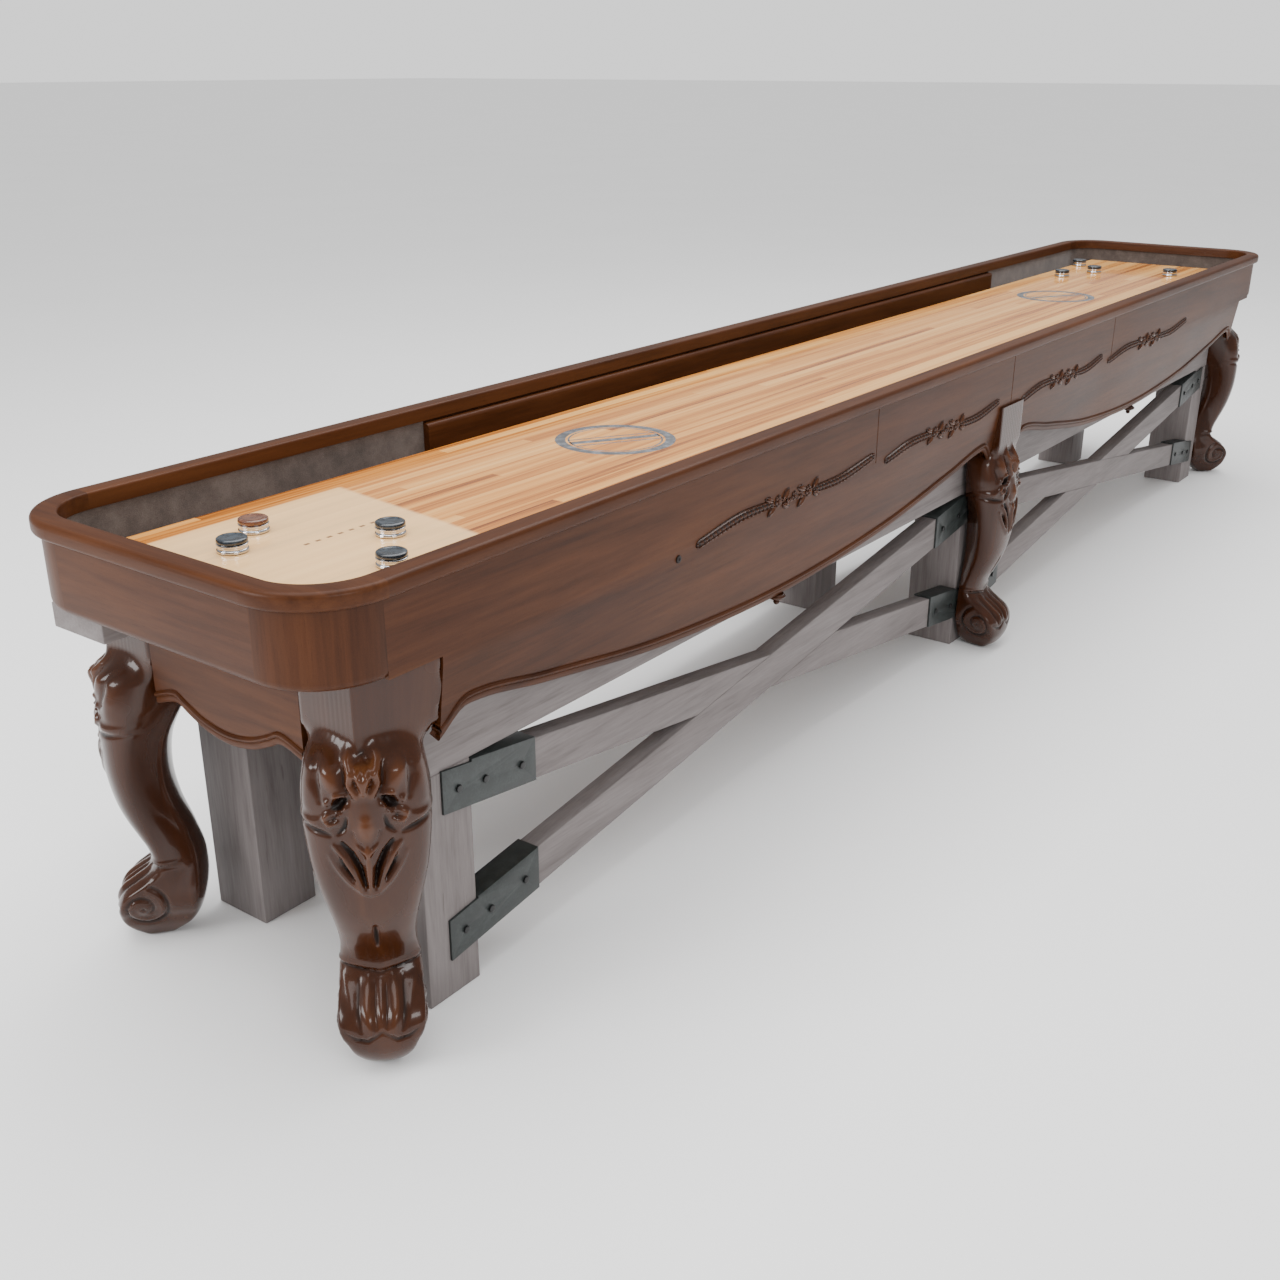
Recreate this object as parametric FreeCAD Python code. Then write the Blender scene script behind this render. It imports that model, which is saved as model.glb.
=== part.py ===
import FreeCAD, Part
import math
import os
from FreeCAD import Vector

os.makedirs("parts", exist_ok=True)

# Shuffleboard table, millimetres. X runs along the table, Y across it, Z up.
# The origin is on the floor under the middle of the table.

# ---- driving dimensions ----
table_length = 4877.0          # over the rails, a sixteen-foot table
table_width = 780.0
table_height = 861.0

rail_width = 45.0
rail_thickness = 30.0
rail_overhang = 14.0           # the rail's nose past the box below it
rail_round = 8.0
corner_radius = 150.0          # outer corner of the rail, seen from above
board_thickness = 20.0         # side, end and corner boards of the box
box_bottom = 700.0
seam_x = 767.0                 # upright seams in the side boards, and one in the middle
seam_depth = 2.0

field_length = 4580.0
field_width = 508.0
field_top = 797.0
field_skin = 3.0               # clear hard playing surface on the maple
field_thickness = 73.0         # maple and surface together
field_gap = 2.0                # play between the playfield and the gutter floors
bearer_width = 60.0
bearer_places = (-2030.0, -700.0, 700.0, 2030.0)

gutter_floor_thickness = 12.0
carpet_thickness = 4.0
liner_thickness = 6.0
wall_board_thickness = 22.0
wall_board_length = 2950.0
wall_board_top = 825.0
wall_board_round = 9.0

medallion_radius = 130.0
medallion_thickness = 1.0
medallion_x = 1250.0

weight_radius = 27.0
weight_height = 16.0
weight_round = 2.0
weight_cap_radius = 23.5
weight_cap_height = 9.0
weight_float = 0.3             # the layer of beads that a weight runs on
weight_places = (
    (-2222.0, 50.0), (-2131.0, 108.0), (-2003.0, -94.0), (-2114.0, -212.0),
    (1740.0, 166.5), (1919.0, 108.0), (2075.0, 225.0), (2004.0, -153.0),
)

leg_block = 140.0
leg_block_bottom = 500.0
corner_leg_x = 2245.0
corner_leg_y = 261.0
corner_block_corner = 57.0     # from the axis to the outer corner of the block, across the table
corner_block_inner = 81.0      # the same at the side apron, which the block meets
middle_leg_y = 288.0
middle_block_front = 385.0     # front of a middle leg's block, just under the rail's nose
glide_height = 4.0
glide_radius = 22.0
glide_reach = 60.0             # glide's distance from the block's axis
post_clearance = 12.0          # from a post's face to the back of a middle leg

apron_thickness = 20.0
apron_lean = 26.0              # how far the side aprons lean in at the bottom
apron_low = 483.0              # lowest point of a side apron's edge
end_apron_low = 489.0
apron_bend = 12.0              # upright strip at the top of a side apron
drop_radius = 20.0
drop_height = 26.0

strip_spans = ((-1490.0, -775.0), (-725.0, -80.0), (72.0, 690.0), (740.0, 1515.0))
strip_height = 22.0
strip_depth = 9.0
strip_rise = 13.0
strip_z = 708.0

beam_thickness = 60.0
long_beam_bottom = 447.0
top_beam_bottom = 655.0
top_beam_inner = 180.0
top_beam_outer = 322.0
top_beam_reach = 2400.0

post_inner = 153.0
post_outer = 292.0
post_size_x = 126.0
post_x = 2105.0

brace_thickness = 45.0
brace_depth = 82.0
brace_slope = 0.138
brace_centre_z = 262.0
plate_thickness = 5.0
plate_reach = 228.0            # how far a bracket runs along the brace from the post's middle
plate_past_middle = 10.0       # and how far it runs past that middle
bolt_places = (0.16, 0.44, 0.84)   # along a bracket, as shares of its length
bolt_head_radius = 7.0
bolt_head_height = 4.0
bolt_radius = 4.0

adjuster_x = 1500.0
adjuster_z = 688.0
adjuster_radius = 8.0
adjuster_clearance = 0.05
adjuster_nut_flats = 26.0
adjuster_nut_length = 90.0
adjuster_span = 150.0          # bracket's distance from the middle line
adjuster_engaged = 36.0        # length of rod inside the nut
adjuster_tail = 26.0           # length of rod past its bracket's face
collar_radius = 13.0
collar_length = 10.0
ear_width = 44.0
ear_thickness = 8.0
ear_drop = 20.0                # from the rod's axis to the bottom of the ear
foot_width = 64.0
foot_length = 36.0
foot_thickness = 6.0

# ---- worked out from the driving dimensions ----
half_length = table_length / 2
half_width = table_width / 2
box_x = half_length - rail_overhang
box_y = half_width - rail_overhang
box_top = table_height - rail_thickness
straight_x = half_length - corner_radius       # where the straight side ends
straight_y = half_width - corner_radius
box_radius = corner_radius - rail_overhang
inner_x = box_x - board_thickness
inner_y = box_y - board_thickness
inner_radius = box_radius - board_thickness
field_x = field_length / 2
field_y = field_width / 2
maple_top = field_top - field_skin
maple_bottom = field_top - field_thickness
floor_top = box_bottom + gutter_floor_thickness
block_half = leg_block / 2
corner_block_inner_x = corner_leg_x - block_half
end_face_x = corner_leg_x + block_half


def box(x0, x1, y0, y1, z0, z1):
    """A block between two corners, given in any order."""
    low = Vector(min(x0, x1), min(y0, y1), min(z0, z1))
    return Part.makeBox(abs(x1 - x0), abs(y1 - y0), abs(z1 - z0), low)


def rounded_slab(half_x, half_y, radius, z0, z1):
    """A slab with four round corners, centred on the table."""
    slab = box(-half_x, half_x, -half_y, half_y, z0, z1)
    upright = [e for e in slab.Edges if abs(e.tangentAt(e.FirstParameter).z) > 0.99]
    return slab.makeFillet(radius, upright)


def prism(points, thrust):
    """A flat outline with straight edges, pushed out along a vector."""
    wire = Part.makePolygon([Vector(*p) for p in points + [points[0]]])
    return Part.Face(wire).extrude(Vector(*thrust))


def curve(points):
    """A smooth edge through a few points."""
    spline = Part.BSplineCurve()
    spline.interpolate([Vector(*p) for p in points])
    return spline.toShape()


def segment(start, end):
    return Part.LineSegment(Vector(*start), Vector(*end)).toShape()


def turned(shape, degrees):
    """The shape turned about the table's upright axis."""
    moved = shape.copy()
    moved.rotate(Vector(0, 0, 0), Vector(0, 0, 1), degrees)
    return moved


def other_side(shape):
    """The mirror image across the table's long middle plane."""
    return shape.mirror(Vector(0, 0, 0), Vector(0, 1, 0))


def other_end(shape):
    """The mirror image across the table's short middle plane."""
    return shape.mirror(Vector(0, 0, 0), Vector(1, 0, 0))


def four(shape):
    """The shape at the near front and its three mirror images."""
    pair = [shape, other_end(shape)]
    return pair + [other_side(s) for s in pair]


def save(name, solids):
    shape = solids[0] if len(solids) == 1 else Part.makeCompound(solids)
    shape.exportStep("parts/" + name + ".step")
    volume = sum(s.Volume for s in solids)
    valid = all(s.isValid() for s in solids)
    print(name, len(shape.Solids), "solid(s)", round(volume / 1000), "cm3", "valid" if valid else "BROKEN")


# ---- playfield ----
def playfield():
    maple = box(-field_x, field_x, -field_y, field_y, maple_bottom, maple_top)
    skin = box(-field_x, field_x, -field_y, field_y, maple_top, field_top)
    medallions = []
    for x in (-medallion_x, medallion_x):
        low = Vector(x, 0, field_top - medallion_thickness)
        disc = Part.makeCylinder(medallion_radius, medallion_thickness, low)
        medallions.append(disc)
        skin = skin.cut(disc)
    save("playfield", [maple])
    save("playing_surface", [skin])
    save("medallions", medallions)
    half = bearer_width / 2
    bearers = [box(x - half, x + half, -field_y, field_y, box_bottom, maple_bottom) for x in bearer_places]
    save("playfield_bearers", bearers)


# ---- box round the playfield ----
def cabinet_box():
    side = box(-straight_x, straight_x, -inner_y, -box_y, box_bottom, box_top)
    for x in (-seam_x, 0.0, seam_x):
        groove = prism(
            [(x - seam_depth, -box_y, box_bottom), (x + seam_depth, -box_y, box_bottom),
             (x, -box_y + seam_depth, box_bottom)], (0, 0, box_top - box_bottom))
        side = side.cut(groove)
    save("side_board_front", [side])
    save("side_board_back", [other_side(side)])
    end = box(-inner_x, -box_x, -straight_y, straight_y, box_bottom, box_top)
    save("end_board_near", [end])
    save("end_board_far", [other_end(end)])
    ring = rounded_slab(box_x, box_y, box_radius, box_bottom, box_top)
    ring = ring.cut(rounded_slab(inner_x, inner_y, inner_radius, box_bottom - 1, box_top + 1))
    corner = ring.common(box(-straight_x, -box_x - 1, -straight_y, -box_y - 1, box_bottom, box_top))
    save("corner_blocks", four(corner))

    ring = rounded_slab(half_length, half_width, corner_radius, box_top, table_height)
    inside = rounded_slab(half_length - rail_width, half_width - rail_width,
                          corner_radius - rail_width, box_top - 1, table_height + 1)
    ring = ring.cut(inside)
    outer = [e for e in ring.Edges if abs(e.BoundBox.ZMin - table_height) < 0.01
             and abs(e.BoundBox.ZMax - table_height) < 0.01]
    ring = ring.makeFillet(rail_round, outer)
    rail = ring.common(box(-straight_x, straight_x, 0, -half_width, box_top, table_height))
    save("side_rail_front", [rail])
    save("side_rail_back", [other_side(rail)])
    rail = ring.common(box(0, -half_length, -straight_y, straight_y, box_top, table_height))
    save("end_rail_near", [rail])
    save("end_rail_far", [other_end(rail)])
    corner = ring.common(box(-straight_x, -half_length, -straight_y, -half_width, box_top, table_height))
    save("rail_corners", four(corner))


# ---- gutters and inner walls ----
def gutters():
    inside = rounded_slab(inner_x, inner_y, inner_radius, box_bottom, floor_top)
    hole_x = field_x + field_gap
    hole_y = field_y + field_gap
    strips = []
    for sign in (-1, 1):
        along = box(-hole_x, hole_x, sign * hole_y, sign * inner_y, box_bottom, floor_top)
        across = box(sign * hole_x, sign * inner_x, -inner_y, inner_y, box_bottom, floor_top)
        strips.append(inside.common(along))
        strips.append(inside.common(across))
    save("gutter_floor", strips)

    carpet_top = floor_top + carpet_thickness
    liner_x = inner_x - liner_thickness
    liner_y = inner_y - liner_thickness
    liner_radius = inner_radius - liner_thickness
    board_y = inner_y - wall_board_thickness
    carpet = rounded_slab(liner_x, liner_y, liner_radius, floor_top, carpet_top)
    carpet = carpet.cut(box(-hole_x, hole_x, -hole_y, hole_y, floor_top - 1, carpet_top + 1))
    wall_end = wall_board_length / 2
    for sign in (-1, 1):
        under_board = box(-wall_end, wall_end, sign * board_y, sign * inner_y, floor_top - 1, carpet_top + 1)
        carpet = carpet.cut(under_board)
    save("gutter_carpet", [carpet])

    liner = rounded_slab(inner_x, inner_y, inner_radius, floor_top, box_top)
    liner = liner.cut(rounded_slab(liner_x, liner_y, liner_radius, floor_top - 1, box_top + 1))
    liner = liner.common(box(-wall_end, -inner_x - 1, -inner_y - 1, inner_y + 1, floor_top, box_top))
    save("wall_liner_near", [liner])
    save("wall_liner_far", [other_end(liner)])

    board = box(-wall_end, wall_end, -board_y, -inner_y, floor_top, wall_board_top)
    top_edge = [e for e in board.Edges if abs(e.CenterOfMass.y + board_y) < 0.01
                and abs(e.CenterOfMass.z - wall_board_top) < 0.01]
    board = board.makeFillet(wall_board_round, top_edge)
    save("wall_board_front", [board])
    save("wall_board_back", [other_side(board)])


# ---- aprons under the box ----
def scallop(x0, x1, low, height, y0, y1, shoulder, shoulder_rise, end_drop):
    """A board between x0 and x1 whose lower edge hangs down in the middle."""
    middle = (x0 + x1) / 2
    reach = x1 - shoulder - middle
    top_of_edge = low + shoulder_rise
    right = [
        (middle, y0, low),
        (middle + 0.45 * reach, y0, low + 0.22 * shoulder_rise),
        (middle + 0.80 * reach, y0, low + 0.70 * shoulder_rise),
        (middle + reach, y0, top_of_edge),
        (x1, y0, top_of_edge - end_drop),
    ]
    left = [(2 * middle - x, y, z) for x, y, z in reversed(right[1:])]
    edge = curve(left + right)
    wire = Part.Wire([
        edge,
        segment((x1, y0, top_of_edge - end_drop), (x1, y0, height)),
        segment((x1, y0, height), (x0, y0, height)),
        segment((x0, y0, height), (x0, y0, top_of_edge - end_drop)),
    ])
    return Part.Face(wire).extrude(Vector(0, y1 - y0, 0))


def side_apron():
    """The near front apron: it leans in from the box down to its edge."""
    inner_end = block_half
    depth = apron_lean + apron_thickness + 1
    flat = scallop(-corner_block_inner_x, -inner_end, apron_low, box_bottom, -box_y - 1, -box_y + depth,
                   62.0, 108.0, 42.0)
    bend = box_bottom - apron_bend
    foot = apron_low - 1
    outer = [(-box_y, box_bottom), (-box_y, bend), (-box_y + apron_lean, foot)]
    inner = [(y + apron_thickness, z) for y, z in reversed(outer)]
    leaning = prism([(-half_length, y, z) for y, z in outer + inner], (half_length, 0, 0))
    return flat.common(leaning)


def aprons(neighbours):
    """Aprons between the legs, fitted round the legs and the top beams."""
    near_front = side_apron()
    for piece in neighbours:
        near_front = near_front.cut(piece)
    save("side_apron_front", [near_front, other_end(near_front)])
    save("side_apron_back", [other_side(near_front), other_end(other_side(near_front))])

    inner_end = corner_leg_y - block_half
    flat = scallop(-inner_end, inner_end, end_apron_low, box_bottom, 0, apron_thickness, 58.0, 40.0, 16.0)
    near = turned(flat, -90)
    near.translate(Vector(-end_face_x, 0, 0))
    far = turned(near, 180)
    for piece in neighbours:
        near = near.cut(piece)
        far = far.cut(piece)
    save("end_apron_near", [near])
    save("end_apron_far", [far])

    drop_x = (corner_block_inner_x + block_half) / 2
    drop_y = box_y - apron_lean - apron_thickness / 2
    outline = [(0, 0), (0.80, 0), (1.0, 0.23), (0.55, 0.54), (0.35, 0.85), (0, 1.0)]
    profile = [Vector(drop_radius * r, 0, apron_low - drop_height * fall) for r, fall in outline]
    wire = Part.makePolygon(profile + [profile[0]])
    drop = Part.Face(wire).revolve(Vector(0, 0, 0), Vector(0, 0, 1), 360)
    drop.translate(Vector(-drop_x, -drop_y, 0))
    save("apron_drops", four(drop))


def carved_strips():
    """Four flat carved scrolls on each side, along the foot of the box."""
    strips = []
    for start, end in strip_spans:
        middle = (start + end) / 2
        quarter = (end - start) / 4
        line = [
            (start, strip_z - strip_rise), (middle - quarter, strip_z + strip_rise / 2), (middle, strip_z),
            (middle + quarter, strip_z - strip_rise / 2), (end, strip_z + strip_rise),
        ]
        upper = curve([(x, -box_y, h + strip_height / 2) for x, h in line])
        lower = curve([(x, -box_y, h - strip_height / 2) for x, h in line])
        ends = [segment((x, -box_y, h - strip_height / 2), (x, -box_y, h + strip_height / 2))
                for x, h in (line[0], line[-1])]
        wire = Part.Wire([upper, ends[1], lower, ends[0]])
        strips.append(Part.Face(wire).extrude(Vector(0, -strip_depth, 0)))
    save("carved_strips_front", strips)
    save("carved_strips_back", [turned(s, 180) for s in strips])


# ---- cabriole legs ----
def cabriole(block_turn, block_corners):
    """A leg with its axis on the origin, its knee and toe towards +X, and a block of the given outline."""
    wide = 110.0
    join = leg_block_bottom + 60.0
    foot = glide_height
    knee = curve([(64, -wide, join), (112, -wide, 528), (132, -wide, 462), (127, -wide, 360),
                  (100, -wide, 252), (70, -wide, 188), (60, -wide, 156)])
    toe = curve([(60, -wide, 156), (98, -wide, 132), (138, -wide, 88), (134, -wide, 38), (98, -wide, foot)])
    sole = segment((98, -wide, foot), (26, -wide, foot))
    back = curve([(26, -wide, foot), (-6, -wide, 34), (-27, -wide, 84), (-32, -wide, 150), (-20, -wide, 216),
                  (0, -wide, 280), (8, -wide, 340), (-2, -wide, 414), (-40, -wide, 496), (-64, -wide, join)])
    top = segment((-64, -wide, join), (64, -wide, join))
    side_view = Part.Face(Part.Wire([knee, toe, sole, back, top])).extrude(Vector(0, 2 * wide, 0))
    edge = [(84, join), (98, 520), (101, 468), (91, 368), (68, 262), (64, 210), (69, 165), (73, 100),
            (56, 36), (34, foot)]
    right = curve([(-wide, w, z) for w, z in edge])
    left = curve([(-wide, -w, z) for w, z in edge])
    top = segment((-wide, edge[0][0], join), (-wide, -edge[0][0], join))
    sole = segment((-wide, edge[-1][0], foot), (-wide, -edge[-1][0], foot))
    front_view = Part.Face(Part.Wire([right, sole, left, top])).extrude(Vector(3 * wide, 0, 0))
    leg = side_view.common(front_view)
    bottom = leg_block_bottom + 18
    block = prism([(x, y, bottom) for x, y in block_corners], (0, 0, box_bottom - bottom))
    block.rotate(Vector(0, 0, 0), Vector(0, 0, 1), block_turn)
    return leg.fuse(block).removeSplitter()


def legs(timbers):
    """Six legs, each scribed round the timbers that it meets."""
    corner = cabriole(-45, [(block_half, corner_block_corner), (-block_half, corner_block_inner),
                            (-block_half, -block_half), (block_half, -block_half)])
    middle_reach = middle_block_front - middle_leg_y
    middle = cabriole(0, [(middle_reach, block_half), (-block_half, block_half),
                          (-block_half, -block_half), (middle_reach, -block_half)])
    scribe = post_outer + post_clearance
    reach = 2 * leg_block
    glide = Part.makeCylinder(glide_radius, glide_height, Vector(glide_reach, 0, 0))
    glides = []
    made = []
    for end, x in (("near", -corner_leg_x), ("middle", 0.0), ("far", corner_leg_x)):
        for side, sign in (("front", -1), ("back", 1)):
            if end == "middle":
                leg = turned(middle, sign * 90)
                pad = turned(glide, sign * 90)
                place = Vector(0, sign * middle_leg_y, 0)
            else:
                facing = math.degrees(math.atan2(sign, math.copysign(1, x)))
                same_hand = sign * x > 0
                leg = turned(corner if same_hand else corner.mirror(Vector(0, 0, 0), Vector(0, 1, 0)), facing)
                pad = turned(glide, facing)
                place = Vector(x, sign * corner_leg_y, 0)
            leg.translate(place)
            pad.translate(place)
            if end == "middle":
                leg = leg.cut(box(-reach, reach, 0, sign * scribe, 0, box_bottom + 1))
                pad = pad.cut(box(-reach, reach, 0, sign * scribe, -1, glide_height + 1))
            for beam in timbers:
                leg = leg.cut(beam)
            save("leg_" + end + "_" + side, [leg])
            made.append(leg)
            glides.append(pad)
    save("leg_glides", glides)
    return made


# ---- grey timber base ----
def top_beam_pair():
    """Flat beams under the box. Each one runs out past the legs at one end."""
    front = box(-corner_block_inner_x, top_beam_reach, -top_beam_inner, -top_beam_outer,
                top_beam_bottom, box_bottom)
    return front, turned(front, 180)


def long_beam_pair():
    """Deep beams under the top beams, from one corner leg to the other."""
    reach = corner_block_inner_x
    front = box(-reach, reach, -post_outer, -post_outer + beam_thickness, long_beam_bottom, top_beam_bottom)
    return front, other_side(front)


def base(top_beams, long_beams):
    save("top_beam_front", [top_beams[0]])
    save("top_beam_back", [top_beams[1]])
    save("long_beam_front", [long_beams[0]])
    save("long_beam_back", [long_beams[1]])
    half = beam_thickness / 2
    cross_y = post_outer - beam_thickness
    cross = [box(x - half, x + half, -cross_y, cross_y, long_beam_bottom, top_beam_bottom)
             for x in (-post_x, 0.0, post_x)]
    save("cross_beams", cross)
    for name, x in (("near", -post_x), ("middle", 0.0), ("far", post_x)):
        post = box(x - post_size_x / 2, x + post_size_x / 2, -post_inner, -post_outer, 0, long_beam_bottom)
        save("posts_" + name, [post, other_side(post)])


def brace_outline(slope, x0, x1, centre_x, y0, thickness):
    """A plank that rises with X, cut upright at both ends."""
    half = brace_depth / 2
    z0 = brace_centre_z + slope * (x0 - centre_x)
    z1 = brace_centre_z + slope * (x1 - centre_x)
    points = [(x0, y0, z0 - half), (x1, y0, z1 - half), (x1, y0, z1 + half), (x0, y0, z0 + half)]
    return prism(points, (0, thickness, 0))


def braces():
    """Near front cross: one plank laps over the other at the middle."""
    face = -post_outer
    x0 = -post_x + post_size_x / 2
    x1 = -post_size_x / 2
    centre = (x0 + x1) / 2
    rising = brace_outline(brace_slope, x0, x1, centre, face, brace_thickness)
    falling = brace_outline(-brace_slope, x0, x1, centre, face, brace_thickness)
    lap = rising.common(falling)
    outer_half = lap.common(box(x0, x1, face, face + brace_thickness / 2, 0, table_height))
    inner_half = lap.common(box(x0, x1, face + brace_thickness / 2, face + brace_thickness, 0, table_height))
    rising = rising.cut(inner_half)
    falling = falling.cut(outer_half)
    front = [rising, falling, other_end(rising), other_end(falling)]
    save("braces_front", front)
    save("braces_back", [other_side(s) for s in front])

    plates = []
    bolts = []
    face_out = face - plate_thickness
    ends = [(slope, post_centre, towards) for slope in (brace_slope, -brace_slope)
            for post_centre, towards in ((-post_x, 1), (0.0, -1))]
    for slope, post_centre, towards in ends:
        start = post_centre - towards * plate_past_middle
        stop = post_centre + towards * plate_reach
        post_face = post_centre + towards * post_size_x / 2
        plate = brace_outline(slope, start, stop, centre, face_out, plate_thickness)
        flange = brace_outline(slope, post_face, stop, centre, face_out, plate_thickness + brace_thickness)
        flange.translate(Vector(0, 0, plate_thickness))
        beyond = stop + towards
        flange = flange.cut(brace_outline(slope, start, beyond, centre, face_out - 1, 2 * brace_thickness))
        plate = plate.fuse(flange).removeSplitter()
        for along in bolt_places:
            x = start + along * (stop - start)
            z = brace_centre_z + slope * (x - centre)
            place = Vector(x, face_out, z)
            shank = Part.makeCylinder(bolt_radius, plate_thickness, place, Vector(0, 1, 0))
            head = Part.makeCylinder(bolt_head_radius, bolt_head_height, place, Vector(0, -1, 0))
            plate = plate.cut(shank)
            bolts.append(head.fuse(shank).removeSplitter())
        plates.append(plate)
    save("brackets", [copy for plate in plates for copy in four(plate)])
    save("bracket_bolts", [copy for bolt in bolts for copy in four(bolt)])


# ---- adjusters that bow the playfield against changes of season ----
def adjusters():
    plates = []
    rods = []
    foot_bottom = maple_bottom - foot_thickness
    for end, x in (("near", -adjuster_x), ("middle", 0.0), ("far", adjuster_x)):
        nut_radius = adjuster_nut_flats / 2 / math.cos(math.radians(30))
        corners = []
        for k in range(6):
            angle = math.radians(60 * k)
            corners.append((x + nut_radius * math.cos(angle), -adjuster_nut_length / 2,
                            adjuster_z + nut_radius * math.sin(angle)))
        nut = prism(corners, (0, adjuster_nut_length, 0))
        bore = Part.makeCylinder(adjuster_radius + adjuster_clearance, adjuster_nut_length,
                                 Vector(x, -adjuster_nut_length / 2, adjuster_z), Vector(0, 1, 0))
        save("adjuster_nut_" + end, [nut.cut(bore)])
        for sign in (-1, 1):
            inside = adjuster_nut_length / 2 - adjuster_engaged
            outside = adjuster_span + adjuster_tail
            axis = Vector(0, sign, 0)
            rod_start = Vector(x, sign * inside, adjuster_z)
            rod = Part.makeCylinder(adjuster_radius, outside - inside, rod_start, axis)
            collar_start = Vector(x, sign * (adjuster_span - collar_length), adjuster_z)
            collar = Part.makeCylinder(collar_radius, collar_length, collar_start, axis)
            plate_face = sign * adjuster_span
            foot_end = sign * (adjuster_span + foot_length)
            half = foot_width / 2
            foot = box(x - half, x + half, plate_face, foot_end, foot_bottom, maple_bottom)
            ear_back = sign * (adjuster_span + ear_thickness)
            half = ear_width / 2
            ear = box(x - half, x + half, plate_face, ear_back, adjuster_z - ear_drop, foot_bottom)
            plates.append(foot.fuse(ear).cut(rod).removeSplitter())
            rods.append(rod.fuse(collar).removeSplitter())
    save("adjuster_brackets", plates)
    save("adjuster_rods", rods)


# ---- weights ----
def weights():
    z = field_top + weight_float
    for number, (x, y) in enumerate(weight_places, 1):
        body = Part.makeCylinder(weight_radius, weight_height, Vector(x, y, z))
        round_edges = [e for e in body.Edges if e.BoundBox.ZLength < 0.01]
        body = body.makeFillet(weight_round, round_edges)
        cap = Part.makeCylinder(weight_cap_radius, weight_cap_height, Vector(x, y, z + weight_height))
        save("weight_" + str(number), [body, cap])


playfield()
cabinet_box()
gutters()
top_beams = top_beam_pair()
long_beams = long_beam_pair()
six_legs = legs(top_beams + long_beams)
aprons(list(top_beams) + six_legs)
carved_strips()
base(top_beams, long_beams)
braces()
adjusters()
weights()
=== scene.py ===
import math

import bmesh
import bpy
import numpy as np
from mathutils import Matrix, Vector


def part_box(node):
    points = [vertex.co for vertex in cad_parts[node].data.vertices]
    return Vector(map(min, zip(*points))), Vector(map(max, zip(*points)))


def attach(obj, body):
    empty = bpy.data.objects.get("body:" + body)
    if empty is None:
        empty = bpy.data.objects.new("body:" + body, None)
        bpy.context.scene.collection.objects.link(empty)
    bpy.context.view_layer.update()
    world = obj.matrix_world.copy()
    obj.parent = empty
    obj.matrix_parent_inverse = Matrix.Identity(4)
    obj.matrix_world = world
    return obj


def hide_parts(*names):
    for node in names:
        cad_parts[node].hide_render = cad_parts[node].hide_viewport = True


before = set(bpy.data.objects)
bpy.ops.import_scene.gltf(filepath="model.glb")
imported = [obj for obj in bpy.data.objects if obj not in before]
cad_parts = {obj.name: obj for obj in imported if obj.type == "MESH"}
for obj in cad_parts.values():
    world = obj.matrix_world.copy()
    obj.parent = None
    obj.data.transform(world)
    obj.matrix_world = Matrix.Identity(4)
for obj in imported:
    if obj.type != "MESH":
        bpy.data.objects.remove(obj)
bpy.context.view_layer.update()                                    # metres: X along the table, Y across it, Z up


# Small helpers for edit mode, used by every piece below

def activate(piece):
    bpy.ops.object.select_all(action="DESELECT")
    piece.select_set(True)
    bpy.context.view_layer.objects.active = piece


def openMesh(piece):
    activate(piece)
    bpy.ops.object.mode_set(mode="EDIT")
    bpy.ops.mesh.select_all(action="SELECT")


def closeMesh():
    bpy.ops.object.mode_set(mode="OBJECT")


def pick(piece, kind, test):                         # selects the edges or faces whose middle passes the test
    bpy.ops.mesh.select_mode(type=kind)
    bpy.ops.mesh.select_all(action="DESELECT")
    shape = bmesh.from_edit_mesh(piece.data)
    for item in (shape.edges if kind == "EDGE" else shape.faces):
        middle = sum((v.co for v in item.verts), Vector()) / len(item.verts)
        item.select_set(test(middle, item))
    bmesh.update_edit_mesh(piece.data)


def settle(piece):                                   # puts the place into the mesh, the object at the origin
    activate(piece)
    bpy.ops.object.transform_apply(location=True, rotation=True, scale=True)
    return piece


def tidyMesh(piece, gap=1e-5):
    openMesh(piece)
    bpy.ops.mesh.remove_doubles(threshold=gap)
    bpy.ops.mesh.normals_make_consistent(inside=False)
    closeMesh()
    return piece


def pushDown(depth):                                 # makes the flat shape in edit mode a solid below itself
    bpy.ops.mesh.select_all(action="SELECT")
    bpy.ops.mesh.extrude_region_move(TRANSFORM_OT_translate={"value": (0, 0, -depth)})
    bpy.ops.mesh.select_all(action="SELECT")
    bpy.ops.mesh.normals_make_consistent(inside=False)


def work(piece, kind, **settings):                   # adds a modifier and applies it
    modifier = piece.modifiers.new(kind.title(), kind)
    for key, value in settings.items():
        setattr(modifier, key, value)
    activate(piece)
    bpy.ops.object.modifier_apply(modifier=modifier.name)
    return piece


def copyOf(piece, name, flipX=1, flipY=1, move=(0, 0, 0)):
    twin = piece.copy()
    twin.data = piece.data.copy()
    twin.name = name
    bpy.context.scene.collection.objects.link(twin)
    twin.data.transform(Matrix.Translation(move) @ Matrix.Diagonal((flipX, flipY, 1, 1)))
    if flipX * flipY < 0:
        twin.data.flip_normals()
    return twin


def joined(pieces, name):
    bpy.ops.object.select_all(action="DESELECT")
    for piece in pieces:
        piece.select_set(True)
    bpy.context.view_layer.objects.active = pieces[0]
    bpy.ops.object.join()
    pieces[0].name = name
    return pieces[0]


def hand(piece, finishes, slot, *standsFor, body="table", smooth=35):
    if not isinstance(finishes, (list, tuple)):
        finishes = [finishes]
    activate(piece)
    bpy.ops.object.shade_smooth_by_angle(angle=math.radians(smooth))
    if len(piece.data.materials) != len(finishes):
        piece.data.materials.clear()
        for finish in finishes:
            piece.data.materials.append(finish)
    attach(piece, body)
    if standsFor:
        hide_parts(*standsFor)
    return piece


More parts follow.
